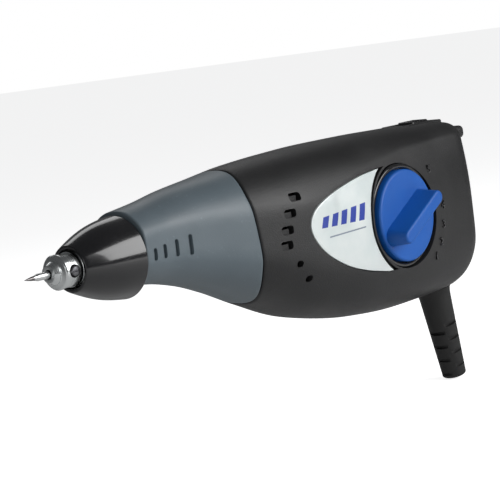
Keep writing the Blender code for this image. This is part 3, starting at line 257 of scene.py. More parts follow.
class Recipe:
    """A node material under construction: a Principled shader and short helpers."""

    def __init__(self, name):
        self.material = bpy.data.materials.new(name)
        self.material.use_nodes = True
        self.tree = self.material.node_tree
        self.shader = self.tree.nodes["Principled BSDF"]
        self.coords = self.add("ShaderNodeTexCoord").outputs["Object"]

    def add(self, kind, **inputs):
        node = self.tree.nodes.new(kind)
        for key, value in inputs.items():
            self.join(value, node.inputs[key.replace("_", " ")])
        return node

    def join(self, value, socket):
        """Link a socket, or set a value; a colour gets its alpha."""
        if isinstance(value, bpy.types.NodeSocket):
            self.tree.links.new(value, socket)
        elif isinstance(value, tuple) and len(value) == 3 and socket.type == "RGBA":
            socket.default_value = (*value, 1.0)
        else:
            socket.default_value = value

    def stretch(self, scale):
        return self.add("ShaderNodeMapping", Vector=self.coords, Scale=scale).outputs["Vector"]

    def noise(self, scale, detail=3.0, rough=0.55, vector=None):
        node = self.add("ShaderNodeTexNoise", Vector=vector or self.coords, Scale=scale,
                        Detail=detail, Roughness=rough)
        return node.outputs["Fac"]

    def cells(self, scale):
        node = self.add("ShaderNodeTexVoronoi", Vector=self.coords, Scale=scale)
        return node.outputs["Distance"]

    def span(self, value, low, high, start=0.0, end=1.0):
        """Map a value's stretch from start to end onto low to high."""
        node = self.add("ShaderNodeMapRange", Value=value, From_Min=start, From_Max=end,
                        To_Min=low, To_Max=high)
        return node.outputs["Result"]

    def math(self, operation, a, b=0.5):
        node = self.tree.nodes.new("ShaderNodeMath")
        node.operation = operation
        self.join(a, node.inputs[0])
        self.join(b, node.inputs[1])
        return node.outputs["Value"]

    def mix(self, factor, first, second):
        node = self.tree.nodes.new("ShaderNodeMix")
        node.data_type = "RGBA"
        self.join(factor, node.inputs[0])
        self.join(first, node.inputs[6])
        self.join(second, node.inputs[7])
        return node.outputs[2]

    def patches(self, cloud, colour, tone):
        """Two tones that drift into each other."""
        return self.mix(self.span(cloud, 0.0, 1.0, 0.35, 0.7), colour, tone)

    def bump(self, height, distance, strength=1.0, normal=None):
        node = self.add("ShaderNodeBump", Height=height, Distance=distance, Strength=strength)
        if normal:
            self.tree.links.new(normal, node.inputs["Normal"])
        return node.outputs["Normal"]

    def set(self, **sockets):
        for key, value in sockets.items():
            self.join(value, self.shader.inputs[key.replace("_", " ")])
        return self.material


def moulded_plastic(name, colour, tone, rough, grain, grain_depth):
    """Injection-moulded plastic: spark-eroded grain, handling gloss and faint dust."""
    r = Recipe(name)
    cloud = r.noise(45.0, 4.0)
    fine = r.noise(grain, 2.0, 0.6)
    pits = r.cells(grain * 0.8)
    base = r.patches(cloud, colour, tone)
    speck = r.span(r.noise(900.0, 2.0), 0.0, 0.35, 0.66, 0.76)
    dust = tuple(min(1.0, c * 1.5 + 0.02) for c in tone)
    base = r.mix(speck, base, dust)
    roughness = r.math("ADD", r.span(cloud, rough - 0.05, rough + 0.06, 0.3, 0.7),
                       r.span(fine, -0.03, 0.03, 0.3, 0.7))
    height = r.math("ADD", fine, r.math("MULTIPLY", pits, 0.6))
    normal = r.bump(height, grain_depth)
    normal = r.bump(r.noise(60.0, 2.0), 0.00008, 0.5, normal)
    return r.set(Base_Color=base, Roughness=roughness, Normal=normal)


def gloss_plastic(name, colour, tone, rough, coat=0.6):
    """Polished plastic with hairline scratches and slight flow waviness."""
    r = Recipe(name)
    cloud = r.noise(60.0, 3.0)
    base = r.patches(cloud, colour, tone)
    hair = r.noise(220.0, 5.0, 0.7, r.stretch((0.25, 6.0, 6.0)))
    scratch = r.span(hair, 0.0, 0.16, 0.60, 0.72)
    roughness = r.math("ADD", r.span(cloud, rough, rough + 0.07, 0.3, 0.7), scratch)
    normal = r.bump(hair, 0.00001, 0.6)
    normal = r.bump(r.noise(80.0, 2.0), 0.00006, 0.5, normal)
    return r.set(Base_Color=base, Roughness=roughness, Normal=normal, Coat_Weight=coat,
                 Coat_Roughness=0.06)


def turned_metal(name, colour, tone, rough):
    """Turned metal: fine tool rings along X and patchy handling marks."""
    r = Recipe(name)
    rings = r.noise(1.0, 2.0, 0.6, r.stretch(TOOL_RINGS))
    cloud = r.noise(140.0, 4.0)
    base = r.patches(cloud, colour, tone)
    base = r.mix(r.span(rings, 0.0, 0.35, 0.4, 0.75), base, tone)
    roughness = r.math("ADD", r.span(rings, rough - 0.05, rough + 0.08, 0.3, 0.7),
                       r.span(cloud, 0.0, 0.12, 0.45, 0.75))
    normal = r.bump(rings, 0.000012)
    return r.set(Base_Color=base, Roughness=roughness, Metallic=1.0, Normal=normal)


def rubber(name):
    """Matt black rubber with a greyish bloom."""
    r = Recipe(name)
    cloud = r.noise(70.0, 4.0)
    fine = r.noise(4200.0, 2.0)
    base = r.mix(r.span(cloud, 0.0, 0.8, 0.42, 0.72), (0.009, 0.009, 0.009),
                 (0.0201, 0.0201, 0.0201))
    roughness = r.span(cloud, 0.5, 0.68, 0.3, 0.7)
    return r.set(Base_Color=base, Roughness=roughness,
                 Normal=r.bump(fine, 0.00003), Specular_IOR_Level=0.4)


def wound_copper(name):
    """Enamelled wire: fine turns across X."""
    r = Recipe(name)
    turns = r.noise(1.0, 1.0, 0.5, r.stretch((3200.0, 12.0, 12.0)))
    base = r.mix(r.span(turns, 0.0, 1.0, 0.35, 0.65), (0.30, 0.09, 0.03), (0.72, 0.30, 0.12))
    return r.set(Base_Color=base, Roughness=r.span(turns, 0.25, 0.42), Metallic=1.0,
                 Normal=r.bump(turns, 0.0001))


def laminated_steel(name):
    """Stacked sheets: fine lines across Y."""
    r = Recipe(name)
    sheets = r.noise(1.0, 1.0, 0.5, r.stretch((10.0, 1900.0, 10.0)))
    cloud = r.noise(200.0, 4.0)
    base = r.mix(r.span(sheets, 0.0, 1.0, 0.4, 0.6), (0.09, 0.09, 0.10), (0.30, 0.30, 0.31))
    return r.set(Base_Color=r.mix(r.span(cloud, 0.0, 0.3, 0.5, 0.7), base, (0.2, 0.13, 0.08)),
                 Roughness=r.span(cloud, 0.38, 0.6, 0.3, 0.7), Metallic=1.0,
                 Normal=r.bump(sheets, 0.00006))


def felt(name):
    """Pressed fibre."""
    r = Recipe(name)
    fibre = r.noise(2600.0, 5.0, 0.8)
    base = r.mix(r.span(fibre, 0.0, 1.0, 0.3, 0.7), (0.16, 0.15, 0.13), (0.42, 0.40, 0.35))
    return r.set(Base_Color=base, Roughness=0.95, Normal=r.bump(fibre, 0.0002))


def label_film(name):
    """Pale satin film with an abstract printed motif: slanted blue bars on a hairline."""
    r = Recipe(name)
    split = r.add("ShaderNodeSeparateXYZ", Vector=r.coords)
    x = r.math("SUBTRACT", split.outputs["X"], ORIGIN.x + MOTIF_X)
    z = r.math("SUBTRACT", split.outputs["Z"], ORIGIN.z + MOTIF_Z)
    level = r.math("SUBTRACT", z, r.math("MULTIPLY", x, MOTIF_SLOPE))
    slant = r.math("SUBTRACT", x, r.math("MULTIPLY", level, BAR_SLANT))
    phase = r.math("FRACT", r.math("DIVIDE", slant, BAR_PITCH), 0.0)
    bar = r.math("LESS_THAN", phase, BAR_SHARE)
    motif_end = BAR_PITCH * (BAR_COUNT - 1 + BAR_SHARE)
    inside = r.math("MULTIPLY", r.math("GREATER_THAN", slant, 0.0),
                    r.math("LESS_THAN", slant, motif_end))
    tall = r.math("ADD", BAR_HALF_HEIGHT, r.math("MULTIPLY", slant, BAR_GROWTH))
    height = r.math("LESS_THAN", r.math("ABSOLUTE", level, 0.0), tall)
    bars = r.math("MULTIPLY", r.math("MULTIPLY", bar, inside), height)
    low = r.math("ABSOLUTE", r.math("ADD", level, LINE_DROP), 0.0)
    line = r.math("MULTIPLY", r.math("LESS_THAN", low, LINE_HALF_HEIGHT),
                  r.math("MULTIPLY", r.math("GREATER_THAN", slant, LINE_START),
                         r.math("LESS_THAN", slant, LINE_END)))
    cloud = r.noise(80.0, 4.0)
    film = r.patches(cloud, (0.60, 0.665, 0.66), (0.70, 0.74, 0.73))
    base = r.mix(line, film, (0.20, 0.24, 0.30))
    base = r.mix(bars, base, (0.018, 0.045, 0.33))
    fine = r.noise(3800.0, 2.0)
    return r.set(Base_Color=base, Roughness=r.span(cloud, 0.3, 0.42, 0.3, 0.7),
                 Metallic=0.12, Normal=r.bump(fine, 0.000012), Coat_Weight=0.25,
                 Coat_Roughness=0.15)


def needle_metal(name):
    """Bright ground shank with a darker carbide tip."""
    r = Recipe(name)
    split = r.add("ShaderNodeSeparateXYZ", Vector=r.coords)
    along = r.math("SUBTRACT", split.outputs["X"], ORIGIN.x)
    shank = r.span(along, 0.0, 1.0, 0.0031, 0.0036)
    rings = r.noise(1.0, 2.0, 0.6, r.stretch(TOOL_RINGS))
    base = r.mix(shank, (0.16, 0.15, 0.15), (0.78, 0.79, 0.79))
    base = r.mix(r.span(rings, 0.0, 0.3, 0.45, 0.75), base, (0.3, 0.3, 0.3))
    return r.set(Base_Color=base, Roughness=r.span(rings, 0.16, 0.3, 0.3, 0.7), Metallic=1.0,
                 Normal=r.bump(rings, 0.00001))


MATERIALS = {
    "needle": needle_metal("needle_metal"),
    "black_plastic": moulded_plastic("black_plastic", (0.009, 0.009, 0.0095),
                                     (0.015, 0.015, 0.0155), 0.46, 2600.0, 0.00005),
    "grey_plastic": moulded_plastic("grey_plastic", (0.095, 0.122, 0.140),
                                    (0.110, 0.140, 0.160), 0.40, 3200.0, 0.00002),
    "gloss_black": gloss_plastic("gloss_black", (0.006, 0.006, 0.007), (0.010, 0.010, 0.011),
                                 0.16),
    "blue_plastic": gloss_plastic("blue_plastic", (0.0, 0.082, 0.38), (0.0, 0.098, 0.43),
                                  0.46, 0.0),
    "label": label_film("label_film"),
    "rubber": rubber("rubber"),
    "steel": turned_metal("bright_steel", (0.74, 0.76, 0.76), (0.55, 0.57, 0.57), 0.2),
    "dark_steel": turned_metal("dark_steel", (0.22, 0.22, 0.23), (0.12, 0.12, 0.13), 0.35),
    "carbide": turned_metal("ground_carbide", (0.42, 0.42, 0.43), (0.28, 0.28, 0.3), 0.22),
    "bronze": turned_metal("sintered_bronze", (0.45, 0.27, 0.11), (0.3, 0.17, 0.07), 0.4),
    "copper": wound_copper("copper_winding"),
    "laminations": laminated_steel("steel_laminations"),
    "nylon": moulded_plastic("nylon", (0.62, 0.60, 0.52), (0.70, 0.68, 0.60), 0.45, 2500.0,
                             0.00002),
    "felt": felt("felt"),
    "wire": moulded_plastic("wire_insulation", (0.30, 0.02, 0.02), (0.38, 0.03, 0.03), 0.4,
                            3000.0, 0.00001),
}


# ---------------------------------------------------------------- mesh helpers

def frame_matrix(place=(0.0, 0.0, 0.0), turn=None):
    """From millimetres in a local frame of the tool to metres in the CAD's frame."""
    local = Matrix.Translation(Vector(place)) @ (turn.to_4x4() if turn else Matrix())
    return Matrix.Translation(ORIGIN) @ Matrix.Scale(MM, 4) @ local


def axes(along, first):
    """A rotation whose Z is along and whose X is first."""
    return Matrix((first, along.cross(first), along)).transposed()


TOOL = frame_matrix()
ALONG_X = frame_matrix(turn=axes(Vector((1, 0, 0)), Vector((0, 1, 0))))
OUTWARD = Vector((math.sin(DIAL_TILT), -math.cos(DIAL_TILT), 0.0))
DIAL_TURN = axes(OUTWARD, Vector((math.cos(DIAL_TILT), math.sin(DIAL_TILT), 0.0)))
DIAL = frame_matrix((DIAL_X, -DIAL_FACE, DIAL_Z), DIAL_TURN)
CORD_OUT = Vector((math.sin(BOOT_TILT), 0.0, -math.cos(BOOT_TILT)))
BOOT = frame_matrix((BOOT_X, 0, BOOT_Z),
                    axes(CORD_OUT, Vector((math.cos(BOOT_TILT), 0.0, math.sin(BOOT_TILT)))))


def new_object(name, mesh):
    obj = bpy.data.objects.new(name, mesh)
    bpy.context.scene.collection.objects.link(obj)
    return obj


def solid(name, bm, matrix=TOOL):
    """An object from a bmesh in millimetres of one of the tool's frames."""
    bm.transform(matrix)
    bmesh.ops.recalc_face_normals(bm, faces=bm.faces)
    mesh = bpy.data.meshes.new(name)
    bm.to_mesh(mesh)
    bm.free()
    return new_object(name, mesh)


def bake(obj):
    """Apply an object's modifiers."""
    graph = bpy.context.evaluated_depsgraph_get()
    mesh = bpy.data.meshes.new_from_object(obj.evaluated_get(graph))
    obj.modifiers.clear()
    obj.data = mesh
    return obj


def combine(obj, tools, operation="DIFFERENCE"):
    """Boolean an object with several others, which are used up."""
    for tool in tools:
        modifier = obj.modifiers.new(operation.lower(), "BOOLEAN")
        modifier.operation = operation
        modifier.solver = "EXACT"
        modifier.object = tool
    bake(obj)
    for tool in tools:
        bpy.data.objects.remove(tool)
    return obj


def soften(obj, width, segments, angle=35.0):
    """Round the edges that turn by more than an angle in degrees."""
    modifier = obj.modifiers.new("soft_edges", "BEVEL")
    modifier.width = width * MM
    modifier.segments = segments
    modifier.limit_method = "ANGLE"
    modifier.angle_limit = math.radians(angle)
    modifier.harden_normals = False
    return bake(obj)


def show(obj, body, material, slot, *nodes, angle=32.0):
    """Give a finished piece its material and body, and hide the CAD nodes it stands for. The slot
    argument is not used.
    """
    mesh = obj.data
    mesh.materials.clear()
    mesh.materials.append(MATERIALS[material])
    for polygon in mesh.polygons:
        polygon.material_index = 0
    mesh.shade_smooth()
    mesh.set_sharp_from_angle(angle=math.radians(angle))
    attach(obj, body)
    if nodes:
        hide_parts(*nodes)
    return obj


def arc(centre, radius, start, end, steps):
    """Points of an arc, angles in degrees."""
    angles = [math.radians(start + (end - start) * i / steps) for i in range(steps + 1)]
    return [(centre[0] + radius * math.cos(a), centre[1] + radius * math.sin(a)) for a in angles]


def rounded_profile(points, radius, steps=4):
    """Round the corners of a closed (radius, station) profile; points on the axis stay."""
    count = len(points)
    rounded = []
    for i, point in enumerate(points):
        p = Vector(point)
        if p.x < 1e-6:
            rounded.append(p)
            continue
        before, after = Vector(points[i - 1]) - p, Vector(points[(i + 1) % count]) - p
        angle = before.angle(after)
        if angle > math.radians(165) or angle < 1e-3:
            rounded.append(p)
            continue
        reach = min(radius / math.tan(angle / 2), 0.45 * before.length, 0.45 * after.length)
        start, end = p + before.normalized() * reach, p + after.normalized() * reach
        for k in range(steps + 1):
            t = k / steps
            rounded.append((1 - t) ** 2 * start + 2 * t * (1 - t) * p + t * t * end)
    return [tuple(p) for p in rounded]


def turned(name, profile, matrix=ALONG_X, segments=96, closed=True):
    """Revolve a (radius, station) profile about its frame's Z."""
    bm = bmesh.new()
    rings = []
    for radius, station in profile:
        if radius < 1e-6:
            rings.append([bm.verts.new((0.0, 0.0, station))])
        else:
            rings.append([bm.verts.new((radius * math.cos(a), radius * math.sin(a), station))
                          for a in np.linspace(0, 2 * math.pi, segments, endpoint=False)])
    pairs = list(zip(rings, rings[1:]))
    if closed:
        pairs.append((rings[-1], rings[0]))
    for low, high in pairs:
        if len(low) == 1 and len(high) == 1:
            continue
        for i in range(segments):
            j = (i + 1) % segments
            face = [low[i % len(low)], low[j % len(low)], high[j % len(high)],
                    high[i % len(high)]]
            bm.faces.new(list(dict.fromkeys(face)))
    return solid(name, bm, matrix)


def band(bm, low, high):
    """Faces between two closed rows of the same number of corners."""
    for i in range(len(low)):
        j = (i + 1) % len(low)
        bm.faces.new((low[i], low[j], high[j], high[i]))


def prism(name, outline, low, high, matrix=TOOL, axis="Z"):
    """A flat outline raised from low to high; with axis Y the outline is (x, z)."""
    bm = bmesh.new()
    rows = []
    for level in (low, high):
        if axis == "Z":
            rows.append([bm.verts.new((x, y, level)) for x, y in outline])
        else:
            rows.append([bm.verts.new((x, level, y)) for x, y in outline])
    bm.faces.new(rows[0])
    bm.faces.new(rows[1])
    band(bm, *rows)
    return solid(name, bm, matrix)


def box(name, low, high, matrix=TOOL):
    """A box between two opposite corners."""
    outline = [(low[0], low[1]), (high[0], low[1]), (high[0], high[1]), (low[0], high[1])]
    return prism(name, outline, low[2], high[2], matrix)


def rod(name, start, end, radius, matrix=TOOL, segments=48):
    """A cylinder between two points."""
    start, end = Vector(start), Vector(end)
    turn = (end - start).to_track_quat("Z", "Y").to_matrix().to_4x4()
    bm = bmesh.new()
    bmesh.ops.create_cone(bm, cap_ends=True, segments=segments, radius1=radius,
                          radius2=radius, depth=(end - start).length,
                          matrix=Matrix.Translation((start + end) / 2) @ turn)
    return solid(name, bm, matrix)


def rounded_rectangle(x, z, width, height, radius, steps=5):
    """An outline centred on (x, z) with a round at each corner."""
    points = []
    for i, (sx, sz) in enumerate(((1, 1), (-1, 1), (-1, -1), (1, -1))):
        corner = (x + sx * (width / 2 - radius), z + sz * (height / 2 - radius))
        points += arc(corner, radius, 90 * i, 90 * (i + 1), steps)
    return points


# ---------------------------------------------------------------- body surface

def section(x, column):
    """Monotone cubic through one column of SECTIONS, for an array of stations."""
    xs, ys = SECTIONS[:, 0], SECTIONS[:, column]
    slopes = np.diff(ys) / np.diff(xs)
    same = slopes[:-1] * slopes[1:] > 0
    total = np.where(same, slopes[:-1] + slopes[1:], 1.0)
    middle = np.where(same, 2 * slopes[:-1] * slopes[1:] / total, 0.0)
    tangents = np.concatenate(([slopes[0]], middle, [slopes[-1]]))
    x = np.clip(x, xs[0], xs[-1])
    k = np.clip(np.searchsorted(xs, x, side="right") - 1, 0, len(xs) - 2)
    width = xs[k + 1] - xs[k]
    t = (x - xs[k]) / width
    return ((1 + 2 * t) * (1 - t) ** 2 * ys[k] + t * (1 - t) ** 2 * width * tangents[k]
            + t * t * (3 - 2 * t) * ys[k + 1] - t * t * (1 - t) * width * tangents[k + 1])


def rear_inset(x, radius, end):
    """How far the surface draws in towards the rear end, along a quarter round."""
    into = np.clip(x - (end - radius), 0.0, radius)
    return radius - np.sqrt(radius * radius - into * into)


def soft_min(a, b, reach=0.8):
    """The smaller of two values, rounded where they cross."""
    near = np.maximum(reach - np.abs(a - b), 0.0) / reach
    return np.minimum(a, b) - near * near * reach / 4


def facet(x, z, half, middle, reach, fullness):
    """Half width of the side's face, which leans in evenly up to the crease."""
    crease = np.interp(x, CREASE[:, 0], CREASE[:, 1])
    level = np.clip((crease - middle) / reach, 0.0, 0.98)
    at_crease = half * (1 - level ** fullness) ** (1 / fullness)
    flat = half - SIDE_FLAT
    rise = np.maximum(z - FACET_LOW, 0.0) / np.maximum(crease - FACET_LOW, 1.0)
    face = flat - (flat - at_crease) * rise * rise
    strength = np.clip((x - FACET_START) / (FACET_FULL - FACET_START), 0.0, 1.0)
    return face + (1 - strength) * FACET_CLEAR


def section_points(x, angle, inset, end):
    """Points (y, z, level) of a section; angle 0 is on +Y and 90 degrees on top."""
    shrink = inset / REAR_RADIUS_SIDE
    top = section(x, 1) - inset - rear_inset(x, REAR_RADIUS_TOP, end)
    bottom = section(x, 2) + inset
    bottom = bottom + rear_inset(x, REAR_RADIUS_BOTTOM * (1 - shrink / 2), end)
    half = section(x, 3) - inset
    half = half - rear_inset(x, REAR_RADIUS_SIDE * (1 - shrink / 2), end)
    c, s = np.cos(angle), np.sin(angle)
    fullness = np.where(s > 0, section(x, 5), section(x, 4))
    width = np.abs(c) ** (2 / fullness) * half
    level = np.sign(s) * np.abs(s) ** (2 / fullness)
    middle, reach = (top + bottom) / 2, (top - bottom) / 2
    z = middle + level * reach
    flat = half - SIDE_FLAT
    width = soft_min(width, flat)
    width = np.minimum(width, facet(x, z, half, middle, reach, fullness))
    return np.sign(c) * width, z, level


def seam_x(level):
    """Station of the seam at a level of the section, from -1 to 1."""
    return SEAM_MIDDLE + SEAM_SLOPE * level + SEAM_BOW * level ** 2 + SEAM_SWEEP * level ** 4


def ring(station, inset=0.0, follow_seam=True, end=REAR, count=224):
    """One section ring of evenly spaced points, from the bottom round the +Y side."""
    angle = np.linspace(-math.pi / 2, 1.5 * math.pi, 1441)
    x = np.full_like(angle, station)
    level = section_points(x, angle, inset, end)[2]
    if follow_seam:
        fade = max(0.0, 1 - abs(station - SEAM_STATION) / SEAM_FADE)
        x = station + fade * (seam_x(level) - SEAM_STATION)
    y, z, _ = section_points(x, angle, inset, end)
    length = np.concatenate(([0.0], np.cumsum(np.hypot(np.diff(y), np.diff(z)))))
    even = np.linspace(0.0, length[-1], count, endpoint=False)
    return np.stack([np.interp(even, length, v) for v in (x, y, z)], axis=1)


def loft(name, rings):
    """A closed solid through rings with the same number of points."""
    bm = bmesh.new()
    rows = [[bm.verts.new(p) for p in points] for points in rings]
    count = len(rows[0])
    for low, high in zip(rows, rows[1:]):
        band(bm, low, high)
    for row in (rows[0], rows[-1]):
        bm.faces.new((row[0], row[1], row[count - 1]))
        bm.faces.new((row[count // 2], row[count // 2 - 1], row[count // 2 + 1]))
        for i in range(1, count // 2 - 1):
            bm.faces.new((row[i], row[i + 1], row[count - i - 1], row[count - i]))
    return solid(name, bm)


def half_at(x, z):
    """Half width of the body at a station and height."""
    x, z = np.array(x), np.array(z)
    top, bottom = section(x, 1), section(x, 2)
    middle, reach = (top + bottom) / 2, (top - bottom) / 2
    half = section(x, 3)
    fullness = np.where(z > middle, section(x, 5), section(x, 4))
    level = np.minimum(np.abs((z - middle) / reach), 1.0)
    width = soft_min(half * (1 - level ** fullness) ** (1 / fullness), half - SIDE_FLAT)
    return float(np.minimum(width, facet(x, z, half, middle, reach, fullness)))


# ---------------------------------------------------------------- housing and sleeve

def body_stations(start, end, step):
    """Evenly spaced stations, about one step apart."""
    return np.linspace(start, end, max(2, int(round((end - start) / step)) + 1))


def housing_outside(name):
    """The housing's outer form: rounded rim at the seam, switch pad and rear lip."""
    rim = [(0.0, 0.55), (0.06, 0.3), (0.2, 0.12), (0.4, 0.03)]
    rings = [ring(SEAM_STATION + s, inset) for s, inset in rim]
    rings += [ring(s) for s in body_stations(81.0, 172.0, 1.3)]
    rings += [ring(s) for s in body_stations(173.0, 188.5, 0.75)]
    rings += [ring(s) for s in (189.0, 189.4, 189.7, 189.9, REAR)]
    shell = loft(name, rings)
    neck = loft("neck", [ring(s, SLEEVE_WALL + GAP, False, count=96)
                         for s in body_stations(69.6, 92.0, 2.8)])
    pad = soften(box("pad", PAD_LOW, PAD_HIGH), 0.6, 4)
    lip = soften(box("lip", LIP_LOW, LIP_HIGH), 1.5, 5)
    return combine(shell, [neck, pad, lip], "UNION")


def housing_cavity():
    """The room inside the housing, with a narrower front under the sleeve's tail."""
    end = REAR - WALL
    rings = [ring(s, SLEEVE_WALL + GAP + 1.8, False, count=96) for s in (66.0, 76.0, 87.0)]
    stations = [*range(90, 175, 6), 178, 181, 183.5, 185.5, 186.7, end]
    rings += [ring(float(s), WALL, False, end, count=96) for s in stations]
    return loft("cavity", rings)


def vent_cutters(side):
    """Louvred vents: each opening keeps a sunken blade, and the two lowest are plain holes."""
    cutters = []
    for i, (x, z, width, height) in enumerate(VENTS):
        outline = rounded_rectangle(x, z, width, height, VENT_CORNER)
        surface = half_at(x, z)
        ends = sorted((side * 8.0, side * (surface + 4.0)))
        hole = prism("vent", outline, *ends, axis="Y")
        if i < VENTS_LOUVRED:
            near = sorted((side * 4.0, side * (surface - BLADE_SUNK)))
            blade = box("blade", (x - width, near[0], z - height),
                        (x + width / 2 - 1.3, near[1], z + height / 2 - 0.9))
            combine(hole, [blade])
        cutters.append(hole)
    return cutters


def heel_outline(grow=0.0):
    """The oval foot of the strain relief, in the boot's frame."""
    return rounded_rectangle(HEEL_CENTRE, 0.0, HEEL_LENGTH + 2 * grow, HEEL_WIDTH + 2 * grow,
                             HEEL_CORNER + grow, 10)


def shared_cuts():
    """Openings that both shells share: the cord's, the heel's and the switch's."""
    hole = rod("cord_hole", (0, 0, -6), (0, 0, 20), BOOT_ROOT_RADIUS + GAP, BOOT)
    seat = prism("heel_seat", heel_outline(GAP), -HEEL_SUNK - GAP, 20.0, BOOT)
    slot = prism("switch_slot", rounded_rectangle(178.5, 0.0, 13.0, 7.2, 0.8), 14.0, 24.0)
    return [hole, seat, slot]


def label_knots(steps):
    """Catmull-Rom points along the label's bowed front edge."""
    knots = [Vector(k) for k in LABEL_EDGE]
    ends = [2 * knots[0] - knots[1], *knots, 2 * knots[-1] - knots[-2]]
    points = []
    for a, b, c, d in zip(ends, ends[1:], ends[2:], ends[3:]):
        for i in range(steps):
            t = i / steps
            points.append(0.5 * (2 * b + (c - a) * t + (2 * a - 5 * b + 4 * c - d) * t ** 2
                                 + (3 * b - a - 3 * c + d) * t ** 3))
    return points + [knots[-1]]


def label_solid(name, grow, depth, proud, columns=26, steps=4):
    """The leaf-shaped plate: it follows the side's face and is hollowed round the dial."""
    radius = LABEL_ARC - 4 * grow
    stretch = 1 + grow / LABEL_REACH
    bm = bmesh.new()
    layers = []
    for offset in (-depth, proud):
        layer = []
        for knot in label_knots(steps):
            z = LABEL_MIDDLE + (knot.y - LABEL_MIDDLE) * stretch
            right = DIAL_X - math.sqrt(radius ** 2 - (z - DIAL_Z) ** 2)
            layer.append([bm.verts.new((x, -(half_at(x, z) + offset), z))
                          for x in np.linspace(knot.x - grow, right, columns)])
        layers.append(layer)
    back, front = layers
    for layer in layers:
        for low, high in zip(layer, layer[1:]):
            for i in range(columns - 1):
                bm.faces.new((low[i], low[i + 1], high[i + 1], high[i]))
    for k in (0, -1):
        for i in range(columns - 1):
            bm.faces.new((back[k][i], back[k][i + 1], front[k][i + 1], front[k][i]))
    for i in (0, columns - 1):
        for k in range(len(back) - 1):
            bm.faces.new((back[k][i], back[k + 1][i], front[k + 1][i], front[k][i]))
    return solid(name, bm)


def housing_halves():
    """Both shells: one hollow form, split along the mid plane and cut on each side."""
    outside = housing_outside("housing_outside")
    combine(outside, [housing_cavity()])
    combine(outside, shared_cuts())
    for side, name in ((-1, "left"), (1, "right")):
        shell = new_object("housing_shell_" + name, outside.data.copy())
        plane = sorted((0.1 * side, -60.0 * side))
        cutters = [box("seam_plane", (50, plane[0], -60), (210, plane[1], 40))]
        cutters += vent_cutters(side)
        if side < 0:
            cutters.append(rod("well", (0, 0, -9), (0, 0, 10), WELL_RADIUS, DIAL, 128))
            cutters.append(rod("seat", (0, 0, -9), (0, 0, GAP - FLANGE_DEPTH),
                               BEZEL_FLANGE + GAP, DIAL, 96))
            cutters.append(label_solid("recess", GAP, LABEL_THICK + GAP, 4.0, 14, 2))
        else:
            cutters += [rod("screw_seat", (x, 10.5, z), (x, 40, z), 2.8)
                        for x, z in SHELL_BOSSES]
        combine(shell, cutters)
        show(shell, "housing", "black_plastic", "black_plastic", "housing_" + name)
    bpy.data.objects.remove(outside)


def grip_sleeve():
    """The grey sleeve, from the nose cone to the seam, with slots on both sides."""
    front = NOSE_REAR + GAP
    rim = [(0.0, 0.6), (0.08, 0.3), (0.25, 0.1), (0.5, 0.0)]
    rings = [ring(front + s, inset, False) for s, inset in rim]
    rings += [ring(s, follow_seam=s > 50) for s in body_stations(37.6, 78.4, 1.1)]
    edge = SEAM_STATION - GAP
    rings += [ring(edge - s, inset) for s, inset in
              ((0.9, 0.0), (0.55, 0.05), (0.3, 0.16), (0.1, 0.38), (0.0, 0.7))]
    sleeve = loft("front_grip_sleeve", rings)
    cavity = loft("sleeve_cavity", [ring(s, SLEEVE_WALL, False, count=96)
                                    for s in body_stations(front + SLEEVE_WALL, 90.0, 4.0)])
    cutters = [cavity, rod("bore", (30, 0, 0), (45, 0, 0), 5.9)]
    for x, top, bottom in SLEEVE_SLOTS:
        depth = half_at(x, 0.0) - 1.1
        outline = rounded_rectangle(x, (top + bottom) / 2, 1.4, top - bottom, 0.65)
        cutters.append(prism("slot", outline, -40.0, -depth, axis="Y"))
        cutters.append(prism("slot", outline, depth, 40.0, axis="Y"))
    combine(sleeve, cutters)
    show(sleeve, "housing", "grey_plastic", "grey_plastic", "grip_sleeve")


# ---------------------------------------------------------------- nose and hammer

def nose_cone():
    """The bellied cone, with the spigot that enters the sleeve."""
    outer = []
    for t in np.linspace(0.0, 1.0, 25):
        x = NOSE_REAR - 0.6 - t * (NOSE_REAR - 1.4 - NOSE_FRONT)
        radius = NOSE_REAR_RADIUS - t * (NOSE_REAR_RADIUS - NOSE_FRONT_RADIUS - 0.4)
        outer.append((radius + NOSE_BULGE * math.sin(math.pi * t), x))
    rear = [(5.6, 44.0), (5.6, NOSE_REAR), (NOSE_REAR_RADIUS - 0.55, NOSE_REAR)]
    front = [(NOSE_FRONT_RADIUS + 0.35, NOSE_FRONT + 0.7), (NOSE_FRONT_RADIUS, NOSE_FRONT),
             (5.75, NOSE_FRONT), (5.55, NOSE_FRONT + 0.4), (5.55, 21.6), (6.1, 21.6),
             (6.1, 25.0), (4.9, 25.0), (4.9, 44.0)]
    profile = rounded_profile(rear + outer + front, 0.3)
    cone = turned("front_nose_cone", profile, segments=144)
    show(cone, "housing", "gloss_black", "gloss_black", "nose_cone")


def chuck():
    """The collar on the hammer shaft: two flats and a countersunk hole for its screw."""
    profile = [(0.0, 16.2), (1.9, 16.2), (1.9, 20.0), (4.6, 20.0), (5.0, 19.6), (5.0, 17.9),
               (4.75, 17.7), (4.75, 17.3), (5.0, 17.1), (5.0, 11.7), (4.6, 11.2), (3.3, 10.9),
               (3.3, 10.3), (2.5, 8.8), (1.35, 8.8), (1.35, 15.5), (0.0, 15.5)]
    collar = turned("point_collar", rounded_profile(profile, 0.18), segments=120)
    hole = rod("screw_hole", (SCREW_X, -7, 0), (SCREW_X, -0.4, 0), 1.75)
    across = frame_matrix((SCREW_X, 0, 0), axes(Vector((0, 1, 0)), Vector((1, 0, 0))))
    sink = turned("sink", [(0, -7.0), (2.6, -7.0), (1.75, -4.3), (0, -4.3)], across, 48)
    flats = [box("flat", (12.2, -6, low), (16.4, 6, high))
             for low, high in ((4.45, 8), (-8, -4.45))]
    combine(collar, [hole, sink] + flats)
    show(collar, "hammer", "steel", "steel", "point_chuck", angle=25)


